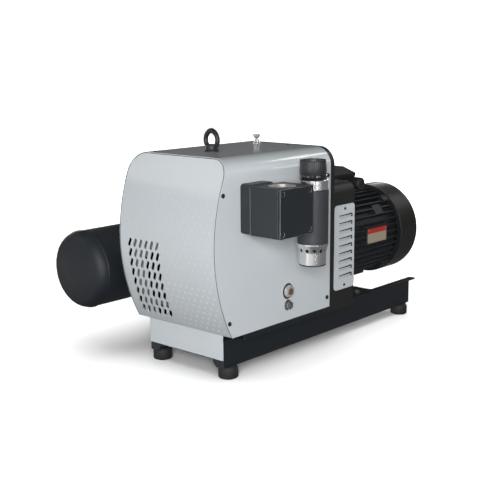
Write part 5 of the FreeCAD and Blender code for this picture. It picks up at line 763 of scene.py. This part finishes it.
wound_spring("relief_coil", "valve_spring", along=ALONG_Z, wire=2.4,
             turns=8, fixed_end_is_high=True)
wound_spring("check_coil", "check_valve_spring", along=ALONG_X, wire=1.6,
             turns=3, fixed_end_is_high=False)

# Oil fittings in the hood's side: a sight glass in a bright hexagon nut with a black rubber gasket
# round it, which is also painted shade for the shadow gap in the hood's hole, and a steel drain
# plug under it, both screwed into the gear case.
fitting = coated("fitting_steel", (0.62, 0.61, 0.59), 0.24, metallic=0.55, tone=0.12, edge=0.5 * MM)
finish_node(fitting, "oil_sight_fitting")
plug_steel = coated("plug_steel", (0.40, 0.40, 0.40), 0.24, metallic=0.9, tone=0.12, edge=0.5 * MM)
finish_node(plug_steel, "oil_drain_plug")
oil = coated("oil_glass", (0.12, 0.065, 0.032), 0.12, coat=0.8, coat_roughness=0.03)
finish_node(oil, "oil_sight_lens")
SIGHT_PLACE = (166.5, -212, 193.6)
# The black ring round the flange is a gasket and painted shade for the shadow gap round the fitting
sight_shade_ring = bmesh.new()
lathe(sight_shade_ring, [(16.6, 0), (19, 0), (19, 0.8), (18.4, 1.4), (16.6, 1.4), (16.6, 0)],
      SIGHT_PLACE, (1, 0, 0), steps=48)
piece("sight_shade_ring", sight_shade_ring, rubber)

# The motor: a finned cast frame between two end shields, a pressed fan cowl screwed to four lugs,
# a terminal box with its lid and a plastic gland with a rubber seal in its mouth, all black, and
# a plain rating plate of lacquered sheet riveted to its seat.
motor_paint = coated("motor_paint", (0.009, 0.011, 0.013), 0.42, tone=0.1, grain=500.0,
                     depth=0.2, dust=0.15, light=0.4, specular=0.4)
finish_node(motor_paint, "motor_front_shield", "motor_frame", "motor_rear_shield", "terminal_box",
            "terminal_lid")
cowl_paint = coated("cowl_paint", (0.011, 0.010, 0.009), 0.36, coat=0.1, tone=0.08, dust=0.12,
                    light=0.5, specular=0.35)
finish_node(cowl_paint, "fan_cowl")
MOTOR_AXIS_Z = 258.0
LUG_TURNS = (38, 142, 218, 322)
LUG_SIZE, LUG_EDGE = (24, 30, 18), 2.5
LUG_Y, LUG_RADIUS = 350, 123.5
SEAL_RING_Y = 362
COWL_SCREW_Y, COWL_FACE = 376, 134.8
lugs = bmesh.new()
lathe(lugs, [(120, 0), (134.6, 0), (135.4, 1), (135.4, 4.9), (120, 4.9), (120, 0)],
      (0, SEAL_RING_Y, MOTOR_AXIS_Z), (0, 1, 0), steps=72)
cowl_screws = bmesh.new()
for degrees in LUG_TURNS:
    turn = math.radians(degrees)
    block = bmesh.ops.create_cube(lugs, size=1)["verts"]
    bmesh.ops.scale(lugs, vec=LUG_SIZE, verts=block)
    edges = list({e for v in block for e in v.link_edges})
    rounded = bmesh.ops.bevel(lugs, geom=edges, offset=LUG_EDGE, segments=2, profile=0.5,
                              affect="EDGES", material=-1)
    block = list({v for v in block if v.is_valid} | set(rounded["verts"]))
    bmesh.ops.translate(lugs, vec=(0, LUG_Y, LUG_RADIUS), verts=block)
    bmesh.ops.rotate(lugs, cent=(0, 0, 0), matrix=Matrix.Rotation(turn, 3, "Y"), verts=block)
    bmesh.ops.translate(lugs, vec=(0, 0, MOTOR_AXIS_Z), verts=block)
    outward = Vector((math.sin(turn), 0, math.cos(turn)))
    lathe(cowl_screws, [(0, 0), (5, 0), (5, 2.2), (4.2, 3), (2.3, 3), (2.1, 1), (0, 1)],
          Vector((0, COWL_SCREW_Y, MOTOR_AXIS_Z)) + outward * COWL_FACE, outward, steps=16)
piece("cowl_lugs", lugs, motor_paint)
piece("cowl_screws", cowl_screws, bolt_steel)
black_plastic = coated("black_plastic", (0.014, 0.014, 0.015), 0.5, grain=800.0, depth=0.2)
finish_node(black_plastic, "motor_fan", "cable_gland")
GLAND_MOUTH = (90, 207, 418.5)
gland_seal = bmesh.new()
lathe(gland_seal, [(0, 0), (9.1, 0), (9.1, 2), (6.5, 3.4), (0, 4)], GLAND_MOUTH, (1, 0, 0),
      steps=24)
piece("gland_seal", gland_seal, rubber)
PLATE_FRONT, PLATE_REAR = 199.0, 294.0
PLATE_BOTTOM, PLATE_TOP = 247.5, 289.5
PLATE_FACE = 126.0
PLATE_PROUD, PLATE_SHEET, PLATE_CORNER = 0.9, 1, 3
BAND_HEIGHT = 14
PLATE_BEIGE, BAND_RED = (0.44, 0.37, 0.27, 1), (0.55, 0.035, 0.025, 1)
RIVET_INSET, RIVET_SEAT = 4, 0.8
plate_form = bmesh.new()
bmesh.ops.create_grid(plate_form, x_segments=1, y_segments=1, size=0.5)
bmesh.ops.rotate(plate_form, cent=(0, 0, 0), matrix=Matrix.Rotation(math.pi / 2, 3, "Y"),
                 verts=plate_form.verts)
bmesh.ops.scale(plate_form, vec=(1, PLATE_REAR - PLATE_FRONT, PLATE_TOP - PLATE_BOTTOM),
                verts=plate_form.verts)
bmesh.ops.translate(plate_form, vec=(PLATE_FACE + PLATE_PROUD, (PLATE_FRONT + PLATE_REAR) / 2,
                                     (PLATE_BOTTOM + PLATE_TOP) / 2), verts=plate_form.verts)
bmesh.ops.bevel(plate_form, geom=plate_form.verts[:], offset=PLATE_CORNER, segments=4, profile=0.5,
                affect="VERTICES", material=-1)
grown = bmesh.ops.extrude_face_region(plate_form, geom=plate_form.faces[:])
sunk = [v for v in grown["geom"] if isinstance(v, bmesh.types.BMVert)]
bmesh.ops.translate(plate_form, vec=(-PLATE_SHEET, 0, 0), verts=sunk)
bmesh.ops.recalc_face_normals(plate_form, faces=plate_form.faces)
plate_steel, plate_skin = new_material("rating_plate")
plate_tree = plate_steel.node_tree
plate_place = new_node(plate_tree, "TexCoord").outputs["Object"]
plate_split = new_node(plate_tree, "SeparateXYZ", {0: plate_place})
plate_band = new_node(plate_tree, "Math", {0: plate_split.outputs["Z"],
                                           1: (PLATE_TOP - BAND_HEIGHT) * MM},
                      operation="GREATER_THAN")
plate_color = new_node(plate_tree, "Mix", {"Factor": plate_band.outputs[0], "A": PLATE_BEIGE,
                                           "B": BAND_RED}, data_type="RGBA")
plate_grain = new_node(plate_tree, "TexNoise", {"Vector": plate_place, "Scale": 90.0})
plate_rough = new_node(plate_tree, "MapRange", {"Value": plate_grain.outputs["Fac"],
                                                "To Min": 0.3, "To Max": 0.45})
join(plate_tree, plate_color.outputs["Result"], plate_skin.inputs["Base Color"])
join(plate_tree, plate_rough.outputs["Result"], plate_skin.inputs["Roughness"])
plate_skin.inputs["Metallic"].default_value = 0.3
piece("rating_plate", plate_form, plate_steel)
rivets = bmesh.new()
for y in (PLATE_FRONT + RIVET_INSET, PLATE_REAR - RIVET_INSET):
    for z in (PLATE_BOTTOM + RIVET_INSET, PLATE_TOP - RIVET_INSET):
        lathe(rivets, [(0, 0), (2, 0), (1.8, 0.8), (1, 1.3), (0, 1.5)],
              (PLATE_FACE + RIVET_SEAT, y, z), (1, 0, 0), steps=12)
piece("plate_rivets", rivets, turned, smooth_angle=60)
